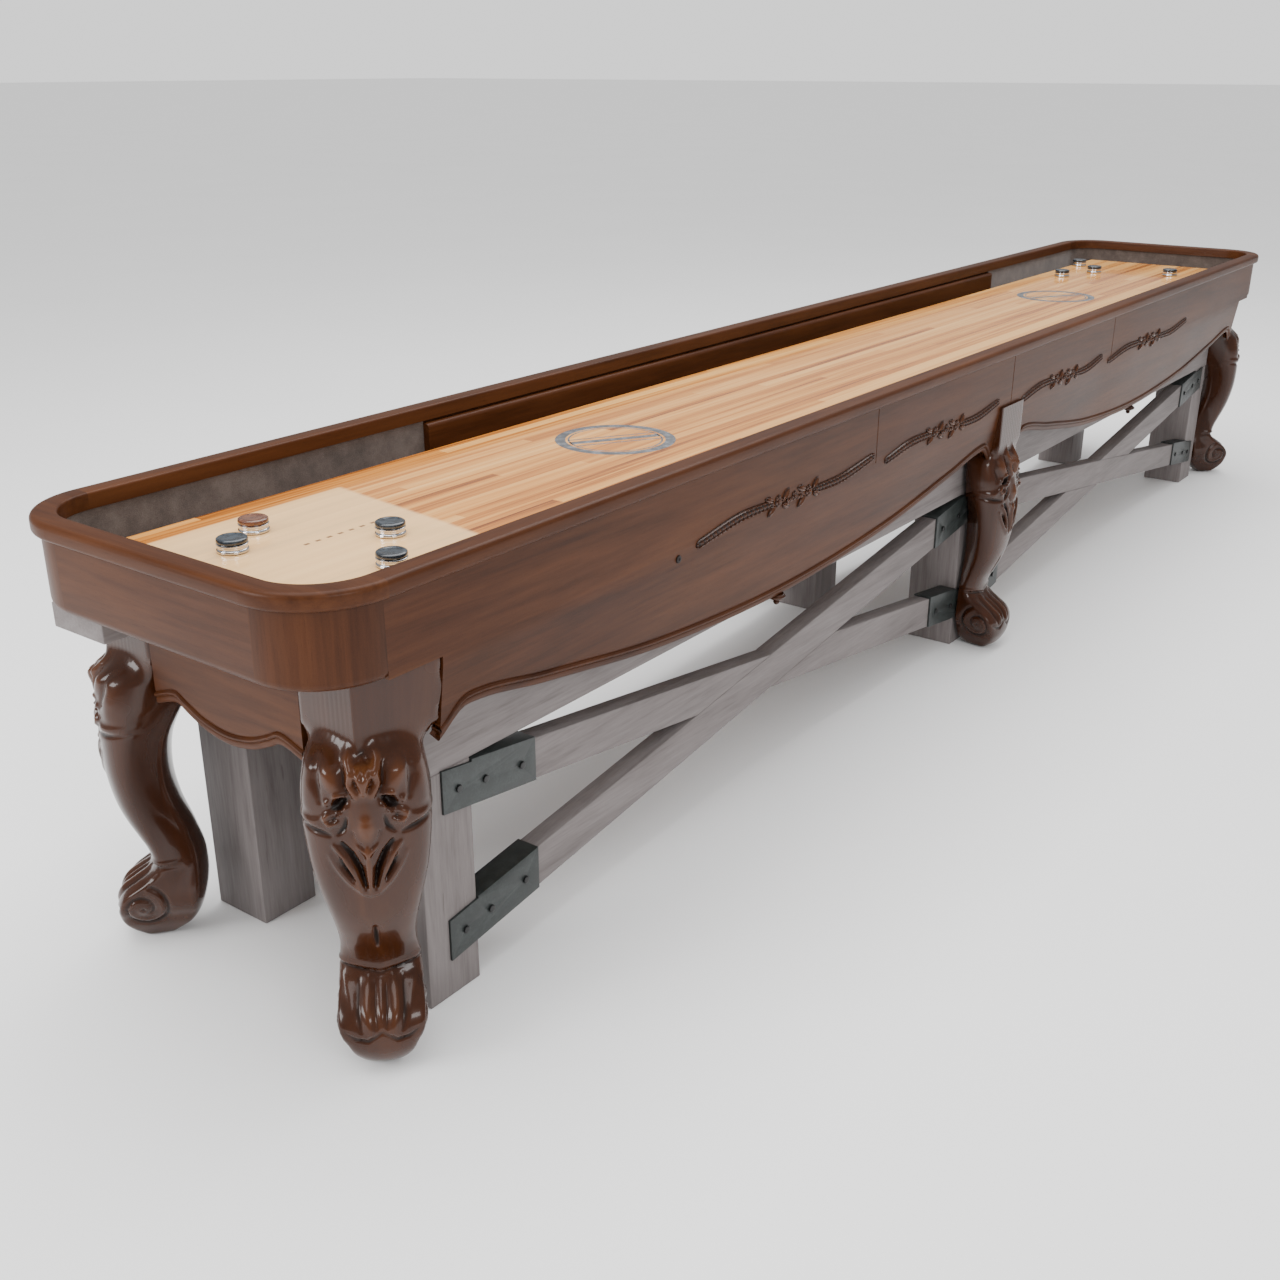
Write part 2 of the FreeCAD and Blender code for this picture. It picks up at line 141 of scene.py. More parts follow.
def giveRelief(piece, height, span):                 # relief from how far a point stands off a face
    relief = piece.data.attributes.new("relief", "FLOAT", "POINT")
    values = [min(max(0.5 + height(v.co) / span, 0), 1) for v in piece.data.vertices]
    relief.data.foreach_set("value", values)
    return piece


def smoothLine(points):                              # a smooth curve through a few (place, value) pairs
    xs = [p[0] for p in points]
    ys = [p[1] for p in points]
    last = len(points) - 1
    slopes = []
    for i in range(last + 1):
        a, b = max(i - 1, 0), min(i + 1, last)
        rise = (ys[b] - ys[a]) / (xs[b] - xs[a])
        if 0 < i < last and (ys[i + 1] - ys[i]) * (ys[i] - ys[i - 1]) <= 0:
            rise = 0                                 # a peak stays a peak
        slopes.append(rise)

    def at(x):
        x = np.clip(np.asarray(x, float), xs[0], xs[-1])
        i = np.clip(np.searchsorted(xs, x, side="right") - 1, 0, last - 1)
        x0, x1 = np.take(xs, i), np.take(xs, i + 1)
        span = x1 - x0
        t = (x - x0) / span
        return ((2 * t**3 - 3 * t**2 + 1) * np.take(ys, i) + (t**3 - 2 * t**2 + t) * span * np.take(slopes, i)
                + (3 * t**2 - 2 * t**3) * np.take(ys, i + 1) + (t**3 - t**2) * span * np.take(slopes, i + 1))
    return at


def sheetOf(name, columns, rows, place):             # a grid whose points are put by place(column, row)
    bpy.ops.mesh.primitive_grid_add(x_subdivisions=columns - 1, y_subdivisions=rows - 1, size=1)
    piece = bpy.context.object
    piece.name = name
    for v in piece.data.vertices:
        column = round((v.co.x + 0.5) * (columns - 1))
        row = round((v.co.y + 0.5) * (rows - 1))
        v.co = place(column, row)
    return piece


# Finishes: a socket wrapped so that shader maths reads as plain sums

class Wire:
    def __init__(self, finish, socket):
        self.finish = finish
        self.socket = socket

    def sum(self, operation, first, second):
        return self.finish.add("Math", {"operation": operation}, {0: first, 1: second})

    def __add__(self, other):
        return self.sum("ADD", self, other)

    def __sub__(self, other):
        return self.sum("SUBTRACT", self, other)

    def __rsub__(self, other):
        return self.sum("SUBTRACT", other, self)

    def __mul__(self, other):
        return self.sum("MULTIPLY", self, other)

    def __truediv__(self, other):
        return self.sum("DIVIDE", self, other)

    __radd__ = __add__
    __rmul__ = __mul__


class Finish:
    def __init__(self, name, **fixed):
        self.material = bpy.data.materials.new(name)
        self.material.use_nodes = True
        self.tree = self.material.node_tree
        self.shader = self.tree.nodes["Principled BSDF"]
        for key, value in fixed.items():
            self.shader.inputs[key.replace("_", " ")].default_value = value
        self.point = self.add("TexCoord", {}, {}, "Object")

    def add(self, kind, settings, sockets, out=0):
        node = self.tree.nodes.new("ShaderNode" + kind)
        for key, value in settings.items():
            if key == "stops":
                ramp = node.color_ramp.elements
                while len(ramp) < len(value):
                    ramp.new(0.5)
                for element, (place, colour) in zip(ramp, value):
                    element.position = place
                    element.color = (*colour, 1)
            else:
                setattr(node, key, value)
        for key, value in sockets.items():
            if isinstance(value, Wire):
                self.tree.links.new(value.socket, node.inputs[key])
            else:
                node.inputs[key].default_value = value
        return Wire(self, node.outputs[out])

    def stretched(self, scale):
        return self.add("Mapping", {}, {"Vector": self.point, "Scale": scale})

    def noise(self, scale, space=None, detail=4.0, rough=0.5, twist=0.0):
        return self.add("TexNoise", {}, {
            "Vector": space or self.point, "Scale": scale, "Detail": detail, "Roughness": rough,
            "Distortion": twist})

    def band(self, value, low, high):                # 0 at low, 1 at high
        return self.add("MapRange", {"interpolation_type": "SMOOTHSTEP"}, {
            "Value": value, "From Min": low, "From Max": high})

    def tint(self, mask, first, second):
        paint = [c if isinstance(c, Wire) else (*c, 1) for c in (first, second)]
        return self.add("Mix", {"data_type": "RGBA"}, {
            "Factor": mask, "A": paint[0], "B": paint[1]}, "Result")

    def ramp(self, value, stops):
        return self.add("ValToRGB", {"stops": stops}, {"Fac": value})

    def axis(self, name):
        return self.add("SeparateXYZ", {}, {"Vector": self.point}, name)

    def show(self, colour=None, bump=None, strength=0.3, depth=0.001, **others):
        if colour is not None:
            self.tree.links.new(colour.socket, self.shader.inputs["Base Color"])
        for key, value in others.items():
            self.tree.links.new(value.socket, self.shader.inputs[key.replace("_", " ")])
        if bump is not None:
            normal = self.add("Bump", {}, {"Strength": strength, "Distance": depth, "Height": bump}, "Normal")
            self.tree.links.new(normal.socket, self.shader.inputs["Normal"])
        return self.material


grainScale = {"x": (0.55, 9.0, 9.0), "y": (9.0, 0.55, 9.0), "z": (9.0, 9.0, 0.55)}

walnutLook = {
    "dark": (0.016, 0.0044, 0.0013), "middle": (0.052, 0.0152, 0.0041), "light": (0.098, 0.0315, 0.0086),
    "roughness": 0.40, "coat": 0.05, "coatRoughness": 0.20, "mirror": 0.14,
}


def walnut(along):                                   # satin stained boards, grain along one axis
    look = walnutLook
    finish = Finish("walnut" + along.upper(), Coat_Roughness=look["coatRoughness"],
                    Specular_IOR_Level=look["mirror"])
    space = finish.stretched(grainScale[along])
    figure = finish.noise(1.4, space, 6.0, 0.62, 0.9)
    streak = finish.noise(9.0, space, 5.0, 0.6)
    pores = finish.noise(60.0, space, 3.0, 0.7)
    cloud = finish.noise(2.1, None, 2.0)
    speck = finish.noise(700.0, None, 1.0)
    tone = figure * 0.45 + streak * 0.28 + cloud * 0.17 + speck * 0.10
    colour = finish.ramp(tone, [(0.30, look["dark"]), (0.47, look["middle"]), (0.70, look["light"])])
    pored = finish.tint(finish.band(pores, 0.60, 0.72) * 0.45, colour, look["dark"])
    return finish.show(pored, pores * 0.6 + speck * 0.4, 0.12, 0.0006,
                       Roughness=look["roughness"] + (cloud - 0.5) * 0.16 + (pores - 0.5) * 0.10,
                       Coat_Weight=look["coat"] + (streak - 0.5) * 0.08)


carvedLook = {
    # the darkest colour, for the deepest hollows: dark glaze and painted shade together
    "glaze": (0.004, 0.0011, 0.0004), "dark": (0.025, 0.0066, 0.0018), "middle": (0.039, 0.0108, 0.0030),
    "light": (0.060, 0.0180, 0.0050), "edge": (0.095, 0.030, 0.0085),
    "roughness": 0.26, "coat": 0.36, "coatRoughness": 0.07, "mirror": 0.2,
}


def carvedWalnut():                                  # gloss finish; the hollows darkened with dark glaze and painted shade, the raised parts lighter
    look = carvedLook
    finish = Finish("carvedWalnut", Coat_Roughness=look["coatRoughness"], Specular_IOR_Level=look["mirror"])
    relief = finish.add("Attribute", {"attribute_name": "relief"}, {}, "Fac")
    space = finish.stretched(grainScale["z"])
    figure = finish.noise(2.0, space, 6.0, 0.6, 0.8)
    pores = finish.noise(70.0, space, 3.0, 0.7)
    cloud = finish.noise(5.0, None, 3.0)
    wood = finish.ramp(figure * 0.7 + cloud * 0.3, [
        (0.32, look["dark"]), (0.55, look["middle"]), (0.75, look["light"])])
    # painted shade: the lower the relief, the darker the colour, standing for glaze and for the shade that falls
    # in the hollows
    hollowShade = finish.band(relief, 0.46, 0.22)
    # the higher the relief, the lighter the colour on the raised parts
    raisedMask = finish.band(relief, 0.60, 0.92)
    deep = finish.tint(hollowShade * 0.92, wood, look["glaze"])
    finalTone = finish.tint(raisedMask * 0.55, deep, look["edge"])
    return finish.show(finalTone, pores * 0.5 + cloud * 0.5, 0.10, 0.0008,
                       Roughness=look["roughness"] + (cloud - 0.5) * 0.12 + hollowShade * 0.2,
                       Coat_Weight=look["coat"] - hollowShade * 0.25)


mapleLook = {
    "stave": 0.026, "pale": (0.760, 0.410, 0.130), "straw": (0.620, 0.270, 0.058), "honey": (0.440, 0.150, 0.022),
    "amber": (0.180, 0.046, 0.006), "zone": (0.880, 0.590, 0.290), "zoneGrain": (0.80, 0.50, 0.23),
    "ink": (0.12, 0.045, 0.015),
}


def maple(name, zone, roughness, coat):              # long glued staves, each of its own tone
    look = mapleLook
    finish = Finish(name, Coat_Weight=coat, Coat_Roughness=0.05, Specular_IOR_Level=0.25)
    x, y = finish.axis("X"), finish.axis("Y")
    stave = finish.add("Math", {"operation": "FLOOR"}, {0: y / look["stave"]})
    along = finish.add("Math", {"operation": "FLOOR"}, {0: x * 0.62 + stave * 0.37})
    tone = finish.add("TexWhiteNoise", {"noise_dimensions": "2D"}, {
        "Vector": finish.add("CombineXYZ", {}, {"X": stave, "Y": along})}, "Value")
    space = finish.stretched((0.45, 26.0, 26.0))
    streak = finish.noise(1.6, space, 7.0, 0.66, 0.7)
    fibre = finish.noise(8.0, space, 4.0, 0.6)
    broad = finish.noise(1.0, finish.stretched((0.35, 6.0, 1.0)), 3.0)
    shade = tone * 0.20 + streak * 0.62 + fibre * 0.14 + broad * 0.30 - 0.10
    wood = finish.ramp(shade, [
        (0.36, look["amber"]), (0.44, look["honey"]), (0.54, look["straw"]), (0.68, look["pale"])])
    if zone:
        wobble = finish.noise(3.0, None, 2.0)
        edgeX = x + y * zone["slant"] + (wobble - 0.5) * 0.02
        inside = finish.band(edgeX, zone["end"] + 0.012, zone["end"] - 0.004)
        inside = inside * finish.band(y, zone["back"] + 0.004, zone["back"] - 0.004)
        wood = finish.tint(inside * 0.80, wood, finish.tint(fibre, look["zone"], look["zoneGrain"]))
        dash = finish.add("Math", {"operation": "PINGPONG"}, {0: x, 1: zone["dash"]})
        line = finish.band(dash, zone["dash"] * 0.50, zone["dash"] * 0.40)
        aside = finish.add("Math", {"operation": "ABSOLUTE"}, {0: y - zone["dashY"]})
        line = line * finish.band(aside, zone["dashHalf"] * 1.25, zone["dashHalf"] * 0.75)
        line = line * finish.band(x, zone["dashFrom"], zone["dashFrom"] + 0.003)
        line = line * finish.band(x, zone["dashTo"] + 0.003, zone["dashTo"])
        wood = finish.tint(line * 0.85, wood, look["ink"])
    joint = finish.add("Math", {"operation": "PINGPONG"}, {0: y, 1: look["stave"] / 2})
    return finish.show(wood, fibre + finish.band(joint, 0.0, 0.0008) * 0.3, 0.05, 0.0004,
                       Roughness=roughness + (broad - 0.5) * 0.10)


timberLook = {
    "dark": (0.090, 0.075, 0.072), "middle": (0.165, 0.144, 0.140), "light": (0.245, 0.220, 0.216),
    "split": (0.085, 0.070, 0.064),
}


def greyTimber(along):                               # grey washed softwood, matt
    look = timberLook
    finish = Finish("greyTimber" + along.upper(), Specular_IOR_Level=0.25)
    space = finish.stretched(grainScale[along])
    figure = finish.noise(2.4, space, 6.0, 0.6, 1.1)
    line = finish.noise(22.0, space, 4.0, 0.65)
    cloud = finish.noise(3.0, None, 3.0)
    tone = figure * 0.45 + line * 0.30 + cloud * 0.25
    colour = finish.ramp(tone, [(0.30, look["dark"]), (0.48, look["middle"]), (0.72, look["light"])])
    split = finish.band(finish.noise(14.0, space, 2.0), 0.70, 0.78)
    finalTone = finish.tint(split * 0.5, colour, look["split"])
    return finish.show(finalTone, line * 0.7 - split * 0.6, 0.35, 0.0010, Roughness=0.62 + (cloud - 0.5) * 0.2)


def steel(name, tone, roughness, metallic, bumpScale, wear):
    finish = Finish(name, Metallic=metallic, Specular_IOR_Level=0.5)
    cloud = finish.noise(bumpScale * 0.2, None, 4.0)
    grit = finish.noise(bumpScale, None, 3.0)
    light = tuple(min(1.0, c * wear) for c in tone)
    colour = finish.tint(finish.band(cloud * 0.6 + grit * 0.4, 0.42, 0.66), tone, light)
    return finish.show(colour, grit, 0.12, 0.0003, Roughness=roughness + (cloud - 0.5) * 0.18)


clothLook = {"dark": (0.045, 0.032, 0.026), "middle": (0.095, 0.070, 0.058), "light": (0.165, 0.128, 0.108)}


def linerCloth():                                    # short pile, mottled
    look = clothLook
    finish = Finish("linerCloth", Specular_IOR_Level=0.2, Sheen_Weight=0.35, Sheen_Roughness=0.5)
    mottle = finish.noise(22.0, None, 5.0, 0.7)
    pile = finish.noise(420.0, None, 3.0, 0.7)
    cloud = finish.noise(4.0, None, 3.0)
    tone = mottle * 0.45 + pile * 0.30 + cloud * 0.25
    colour = finish.ramp(tone, [(0.34, look["dark"]), (0.50, look["middle"]), (0.68, look["light"])])
    return finish.show(colour, pile, 0.5, 0.0012, Roughness=0.86 + (mottle - 0.5) * 0.1)


def plainWood(name, dark, light, along):             # raw boards that are seldom seen
    finish = Finish(name, Specular_IOR_Level=0.3)
    space = finish.stretched(grainScale[along])
    figure = finish.noise(2.0, space, 6.0, 0.6, 0.6)
    line = finish.noise(16.0, space, 4.0)
    colour = finish.ramp(figure * 0.6 + line * 0.4, [(0.34, dark), (0.66, light)])
    return finish.show(colour, line, 0.2, 0.0006, Roughness=0.6 + (figure - 0.5) * 0.2)


def weightCap(name, tone, pale):                     # moulded cap with a faint swirl
    finish = Finish(name, Coat_Weight=0.6, Coat_Roughness=0.08, Specular_IOR_Level=0.5)
    cloud = finish.noise(60.0, None, 3.0, 0.6, 1.5)
    grit = finish.noise(900.0, None, 2.0)
    colour = finish.tint(finish.band(cloud, 0.40, 0.65), tone, pale)
    return finish.show(colour, grit, 0.08, 0.0002, Roughness=0.28 + (cloud - 0.5) * 0.2)


print("stage: finishes")
woodX, woodY, woodZ = walnut("x"), walnut("y"), walnut("z")
carved = carvedWalnut()
timber = {axis: greyTimber(axis) for axis in "xyz"}
scoringZone = {
    "end": -1.885, "slant": -0.14, "back": 0.196,
    "dash": 0.0125, "dashFrom": -2.14, "dashTo": -1.95, "dashY": -0.020, "dashHalf": 0.0034,
}
fieldTop = maple("fieldTop", scoringZone, 0.22, 0.38)
fieldSlab = maple("fieldSlab", None, 0.4, 0.1)
liner = linerCloth()
blackSteel = steel("blackSteel", (0.020, 0.024, 0.023), 0.42, 0.0, 260.0, 1.7)
boltSteel = steel("boltSteel", (0.006, 0.006, 0.006), 0.35, 0.0, 400.0, 1.8)
zinc = steel("zincSteel", (0.50, 0.50, 0.47), 0.34, 1.0, 180.0, 1.25)
brightSteel = steel("brightSteel", (0.66, 0.66, 0.68), 0.10, 1.0, 900.0, 1.15)
inlaySilver = steel("inlaySilver", (0.30, 0.31, 0.33), 0.38, 1.0, 220.0, 1.8)
glidePlastic = steel("glidePlastic", (0.02, 0.02, 0.02), 0.5, 0.0, 300.0, 1.6)
plywood = plainWood("plywood", (0.26, 0.15, 0.07), (0.50, 0.33, 0.18), "x")
capDark = weightCap("capDark", (0.009, 0.013, 0.019), (0.028, 0.040, 0.054))
capBrown = weightCap("capBrown", (0.085, 0.026, 0.012), (0.160, 0.060, 0.028))


def dress(node, material):                           # a CAD piece that keeps its own shape
    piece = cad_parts[node]
    piece.data.materials.clear()
    piece.data.materials.append(material)


for node in ("side_board_front", "side_board_back", "wall_board_front", "wall_board_back"):
    dress(node, woodX)
dress("playing_surface", fieldTop)
dress("playfield", fieldSlab)
dress("playfield_bearers", timber["y"])
dress("gutter_floor", plywood)
for node in ("gutter_carpet", "wall_liner_near", "wall_liner_far"):
    dress(node, liner)
for part in ("brackets", "rods", "nut_near", "nut_middle", "nut_far"):
    dress("adjuster_" + part, zinc)


# The box's ends and the rail: one rounded ring each, cut into the boards it is made of

boxLow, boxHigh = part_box("end_board_near")
blockLow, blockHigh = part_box("corner_blocks")
railLow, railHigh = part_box("rail_corners")
sideLow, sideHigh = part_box("side_rail_front")

boxRing = {
    "halfX": -blockLow.x, "halfY": -blockLow.y, "radius": 0.136, "wall": boxHigh.x - boxLow.x,
    "low": boxLow.z, "high": boxHigh.z, "outerFoot": 0.016, "outerTop": 0.0, "innerTop": 0.0,
}
railRing = {
    "halfX": -railLow.x, "halfY": -railLow.y, "radius": 0.150, "wall": sideHigh.y - sideLow.y,
    "low": railLow.z, "high": railHigh.z, "outerFoot": 0.007, "outerTop": 0.010, "innerTop": 0.005,
}


def inward(point, ring):                             # how far inside the ring's outline a point lies
    away = [abs(point.x) - ring["halfX"] + ring["radius"], abs(point.y) - ring["halfY"] + ring["radius"]]
    return ring["radius"] - math.hypot(max(away[0], 0), max(away[1], 0)) - min(max(away), 0)


def roundedRing(name, ring):
    bpy.ops.mesh.primitive_plane_add(size=1, location=(0, 0, ring["high"]))
    piece = bpy.context.object
    piece.name = name
    piece.scale = (2 * ring["halfX"], 2 * ring["halfY"], 1)
    settle(piece)
    openMesh(piece)
    bpy.ops.mesh.bevel(offset=ring["radius"], segments=24, affect="VERTICES", offset_type="OFFSET")
    bpy.ops.mesh.select_all(action="SELECT")
    bpy.ops.mesh.inset(thickness=ring["wall"], depth=0, use_even_offset=True)
    bpy.ops.mesh.delete(type="FACE")
    pushDown(ring["high"] - ring["low"])
    edges = (("outerTop", "high", 0), ("outerFoot", "low", 0), ("innerTop", "high", ring["wall"]))
    for key, height, depth in edges:
        if ring[key]:
            pick(piece, "EDGE", lambda middle, edge: (
                abs(middle.z - ring[height]) < 1e-4 and abs(inward(middle, ring) - depth) < 0.002))
            bpy.ops.mesh.bevel(offset=ring[key], segments=5, affect="EDGES")
    closeMesh()
    return piece


def keepPart(ring, name, cuts):                      # a copy of the ring, kept on the inner side of each cut
    part = copyOf(ring, name)
    for place, normal in cuts:
        openMesh(part)
        bpy.ops.mesh.bisect(plane_co=place, plane_no=normal, use_fill=True, clear_outer=True)
        closeMesh()
    return part


def ringParts(ring, sizes, names):
    straightX = sizes["halfX"] - sizes["radius"]
    straightY = sizes["halfY"] - sizes["radius"]
    made = []
    for end, x in (("Near", -1), ("Far", 1)):
        cuts = [((x * straightX, 0, 0), (-x, 0, 0))]
        cuts += [((0, y * straightY, 0), (0, y, 0)) for y in (1, -1)]
        made.append(keepPart(ring, names["end"] + end, cuts))
    for side, y in (("Front", -1), ("Back", 1)):
        if "side" in names:
            cuts = [((x * straightX, 0, 0), (x, 0, 0)) for x in (1, -1)]
            made.append(keepPart(ring, names["side"] + side, cuts + [((0, 0, 0), (0, -y, 0))]))
    corners = []
    for x in (-1, 1):
        for y in (-1, 1):
            cuts = [((x * straightX, 0, 0), (-x, 0, 0)), ((0, y * straightY, 0), (0, -y, 0))]
            corners.append(keepPart(ring, "corner", cuts))
    made.append(joined(corners, names["corner"]))
    bpy.data.objects.remove(ring)
    return made


print("stage: rail and box ends")
ends = ringParts(roundedRing("boxRing", boxRing), boxRing, {"end": "endBoard", "corner": "cornerBlocks"})
hand(ends[0], woodY, "walnut", "end_board_near")
hand(ends[1], woodY, "walnut", "end_board_far")
hand(ends[2], woodZ, "walnut", "corner_blocks")
rails = ringParts(roundedRing("railRing", railRing), railRing,
                  {"end": "endRail", "side": "sideRail", "corner": "railCorners"})
railWoods = {
    "end_rail_near": woodY, "end_rail_far": woodY, "side_rail_front": woodX, "side_rail_back": woodX,
    "rail_corners": woodY,
}
for rail, (node, wood) in zip(rails, railWoods.items()):
    hand(rail, wood, "walnut", node)


# Aprons: a board with a scalloped edge and a raised bead that follows it

apronLow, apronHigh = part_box("side_apron_front")
endApronLow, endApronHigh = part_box("end_apron_near")
apronInner = 0.070                                   # each half starts beside the middle leg
sideApron = {
    "half": (apronHigh.x - apronInner) / 2, "middle": -(apronHigh.x + apronInner) / 2,
    "shoulder": 0.062, "low": 0.483, "rise": 0.108, "drop": 0.042,
    "top": apronHigh.z, "bend": 0.688, "lean": 0.026 / 0.206, "thick": 0.020, "columns": 150,
}
endApron = {
    "half": endApronHigh.y, "face": endApronLow.x + 0.004, "shoulder": 0.058, "low": 0.489, "rise": 0.040,
    "drop": 0.016, "top": endApronHigh.z, "thick": 0.020, "columns": 70,
}
beadRows = [                                         # height above the edge, and how proud of the face
    (0.0, -0.0040), (0.0012, -0.0014), (0.0035, 0.0), (0.0110, 0.0), (0.0130, -0.0012), (0.0150, 0.0018),
    (0.0172, 0.0036), (0.0195, 0.0036), (0.0217, 0.0018), (0.0237, -0.0012), (0.0257, 0.0), (0.0300, 0.0),
]


def edgeLine(shape):
    reach = shape["half"] - shape["shoulder"]
    return smoothLine([
        (-0.45 * reach, 0.22 * shape["rise"]), (0, 0), (0.45 * reach, 0.22 * shape["rise"]),
        (0.80 * reach, 0.70 * shape["rise"]), (reach, shape["rise"]),
        (shape["half"], shape["rise"] - shape["drop"])])


def apronBoard(name, shape, face):                   # face(along, height, proud) gives the place of a point
    edge = edgeLine(shape)
    upper = 8
    rows = len(beadRows) + upper

    def place(column, row):
        along = shape["half"] * (2 * column / (shape["columns"] - 1) - 1)
        foot = shape["low"] + float(edge(abs(along)))
        if row < len(beadRows):
            rise, proud = beadRows[row]
            height = foot + rise
        else:
            share = (row - len(beadRows) + 1) / upper
            start = foot + beadRows[-1][0]
            height = start + (shape["top"] - start) * share
            proud = 0
        return face(along, height, proud)
    return sheetOf(name, shape["columns"], rows, place)


def sideFace(height):                                # the side apron's face leans in below the bend
    return boxRing["halfY"] - sideApron["lean"] * max(sideApron["bend"] - height, 0)


print("stage: aprons")
half = apronBoard("halfApron", sideApron, lambda along, height, proud: (
    sideApron["middle"] + along, -sideFace(height) - proud, height))
work(half, "SOLIDIFY", thickness=sideApron["thick"], offset=-1)
tidyMesh(half)
frontApron = joined([half, copyOf(half, "farHalf", flipX=-1)], "sideApronFront")
backApron = copyOf(frontApron, "sideApronBack", flipY=-1)
hand(frontApron, woodX, "walnut", "side_apron_front")
hand(backApron, woodX, "walnut", "side_apron_back")
nearApron = apronBoard("endApronNear", endApron, lambda along, height, proud: (
    endApron["face"] - proud, -along, height))
work(nearApron, "SOLIDIFY", thickness=endApron["thick"], offset=-1)
tidyMesh(nearApron)
farApron = copyOf(nearApron, "endApronFar", flipX=-1)
hand(nearApron, woodY, "walnut", "end_apron_near")
hand(farApron, woodY, "walnut", "end_apron_far")


# Turned pieces: a disc pushed up step by step and scaled at each step

def turnedPiece(name, x, y, profile, sides=32):      # profile is (radius, height) from the bottom up
    radius, height = profile[0]
    bpy.ops.mesh.primitive_circle_add(vertices=sides, radius=radius, fill_type="NGON", location=(x, y, height))
    piece = bpy.context.object
    piece.name = name
    openMesh(piece)
    for r, h in profile[1:]:
        bpy.ops.mesh.extrude_region_move(TRANSFORM_OT_translate={"value": (0, 0, h - height)})
        bpy.ops.transform.resize(value=(r / radius, r / radius, 1), center_override=(x, y, h))
        radius, height = r, h
    closeMesh()
    settle(piece)
    return tidyMesh(piece)


print("stage: drops")
dropLow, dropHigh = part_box("apron_drops")
dropRadius = 0.020
dropX = dropHigh.x - dropRadius
dropY = dropHigh.y - dropRadius
dropTall = dropHigh.z - dropLow.z
dropSteps = [(0.10, 0.0), (0.24, 0.06), (0.34, 0.16), (0.36, 0.26), (0.30, 0.34), (0.42, 0.42), (0.62, 0.50),
             (0.86, 0.60), (0.98, 0.72), (1.0, 0.80), (0.94, 0.88), (0.82, 0.93), (0.80, 1.0)]
oneDrop = turnedPiece("drop", -dropX, -dropY, [(dropRadius * r, dropLow.z + dropTall * h) for r, h in dropSteps])
drops = [oneDrop, copyOf(oneDrop, "d2", flipX=-1), copyOf(oneDrop, "d3", flipY=-1), copyOf(oneDrop, "d4", -1, -1)]
drops = joined(drops, "apronDrops")
giveRelief(drops, lambda point: 0.0, 1.0)
hand(drops, carved, "carved_walnut", "apron_drops")


# Legs: rings of points from the foot up, then carving pressed into the skin

legLook = {
    "front": [(0.004, 0.098), (0.020, 0.119), (0.042, 0.1315), (0.066, 0.1345), (0.090, 0.1315), (0.112, 0.118),
              (0.130, 0.094), (0.146, 0.072), (0.162, 0.062), (0.180, 0.064), (0.200, 0.071), (0.225, 0.084),
              (0.260, 0.100), (0.300, 0.112), (0.360, 0.120), (0.420, 0.121), (0.470, 0.120), (0.510, 0.116),
              (0.545, 0.109), (0.575, 0.100), (0.600, 0.094)],
    "back": [(0.004, 0.030), (0.034, -0.006), (0.084, -0.027), (0.150, -0.032), (0.216, -0.020), (0.280, 0.0),
             (0.340, 0.008), (0.414, -0.002), (0.496, -0.040), (0.560, -0.064), (0.600, -0.070)],
    "half": [(0.004, 0.030), (0.014, 0.036), (0.036, 0.049), (0.056, 0.057), (0.074, 0.067), (0.096, 0.0725),
             (0.130, 0.070), (0.165, 0.067), (0.210, 0.063), (0.262, 0.068), (0.368, 0.091), (0.440, 0.100),
             (0.490, 0.101), (0.540, 0.094), (0.600, 0.084)],
    "crease": [(0.004, 0.20), (0.060, 0.10), (0.110, 0.14), (0.160, 0.32), (0.260, 0.42), (0.400, 0.45),
               (0.600, 0.45)],
    "backShare": [(0.004, 0.85), (0.100, 0.92), (0.170, 0.72), (0.260, 0.60), (0.420, 0.55), (0.600, 0.55)],
    "blendFrom": 0.545, "blendTo": 0.602, "sides": 150, "step": 0.0031, "limit": 0.1375,
    "soft": 0.014, "blockHalf": 0.0695, "blockOut": 0.0685, "turnedIn": 0.057, "clear": 0.0004,
    "middleHalf": 0.0699, "middleFront": 0.0965, "middleBack": -0.05, "flatBack": 0.0162,
}
legPlace = {"corner": (2.245, 0.261), "middle": (0.0, 0.288)}

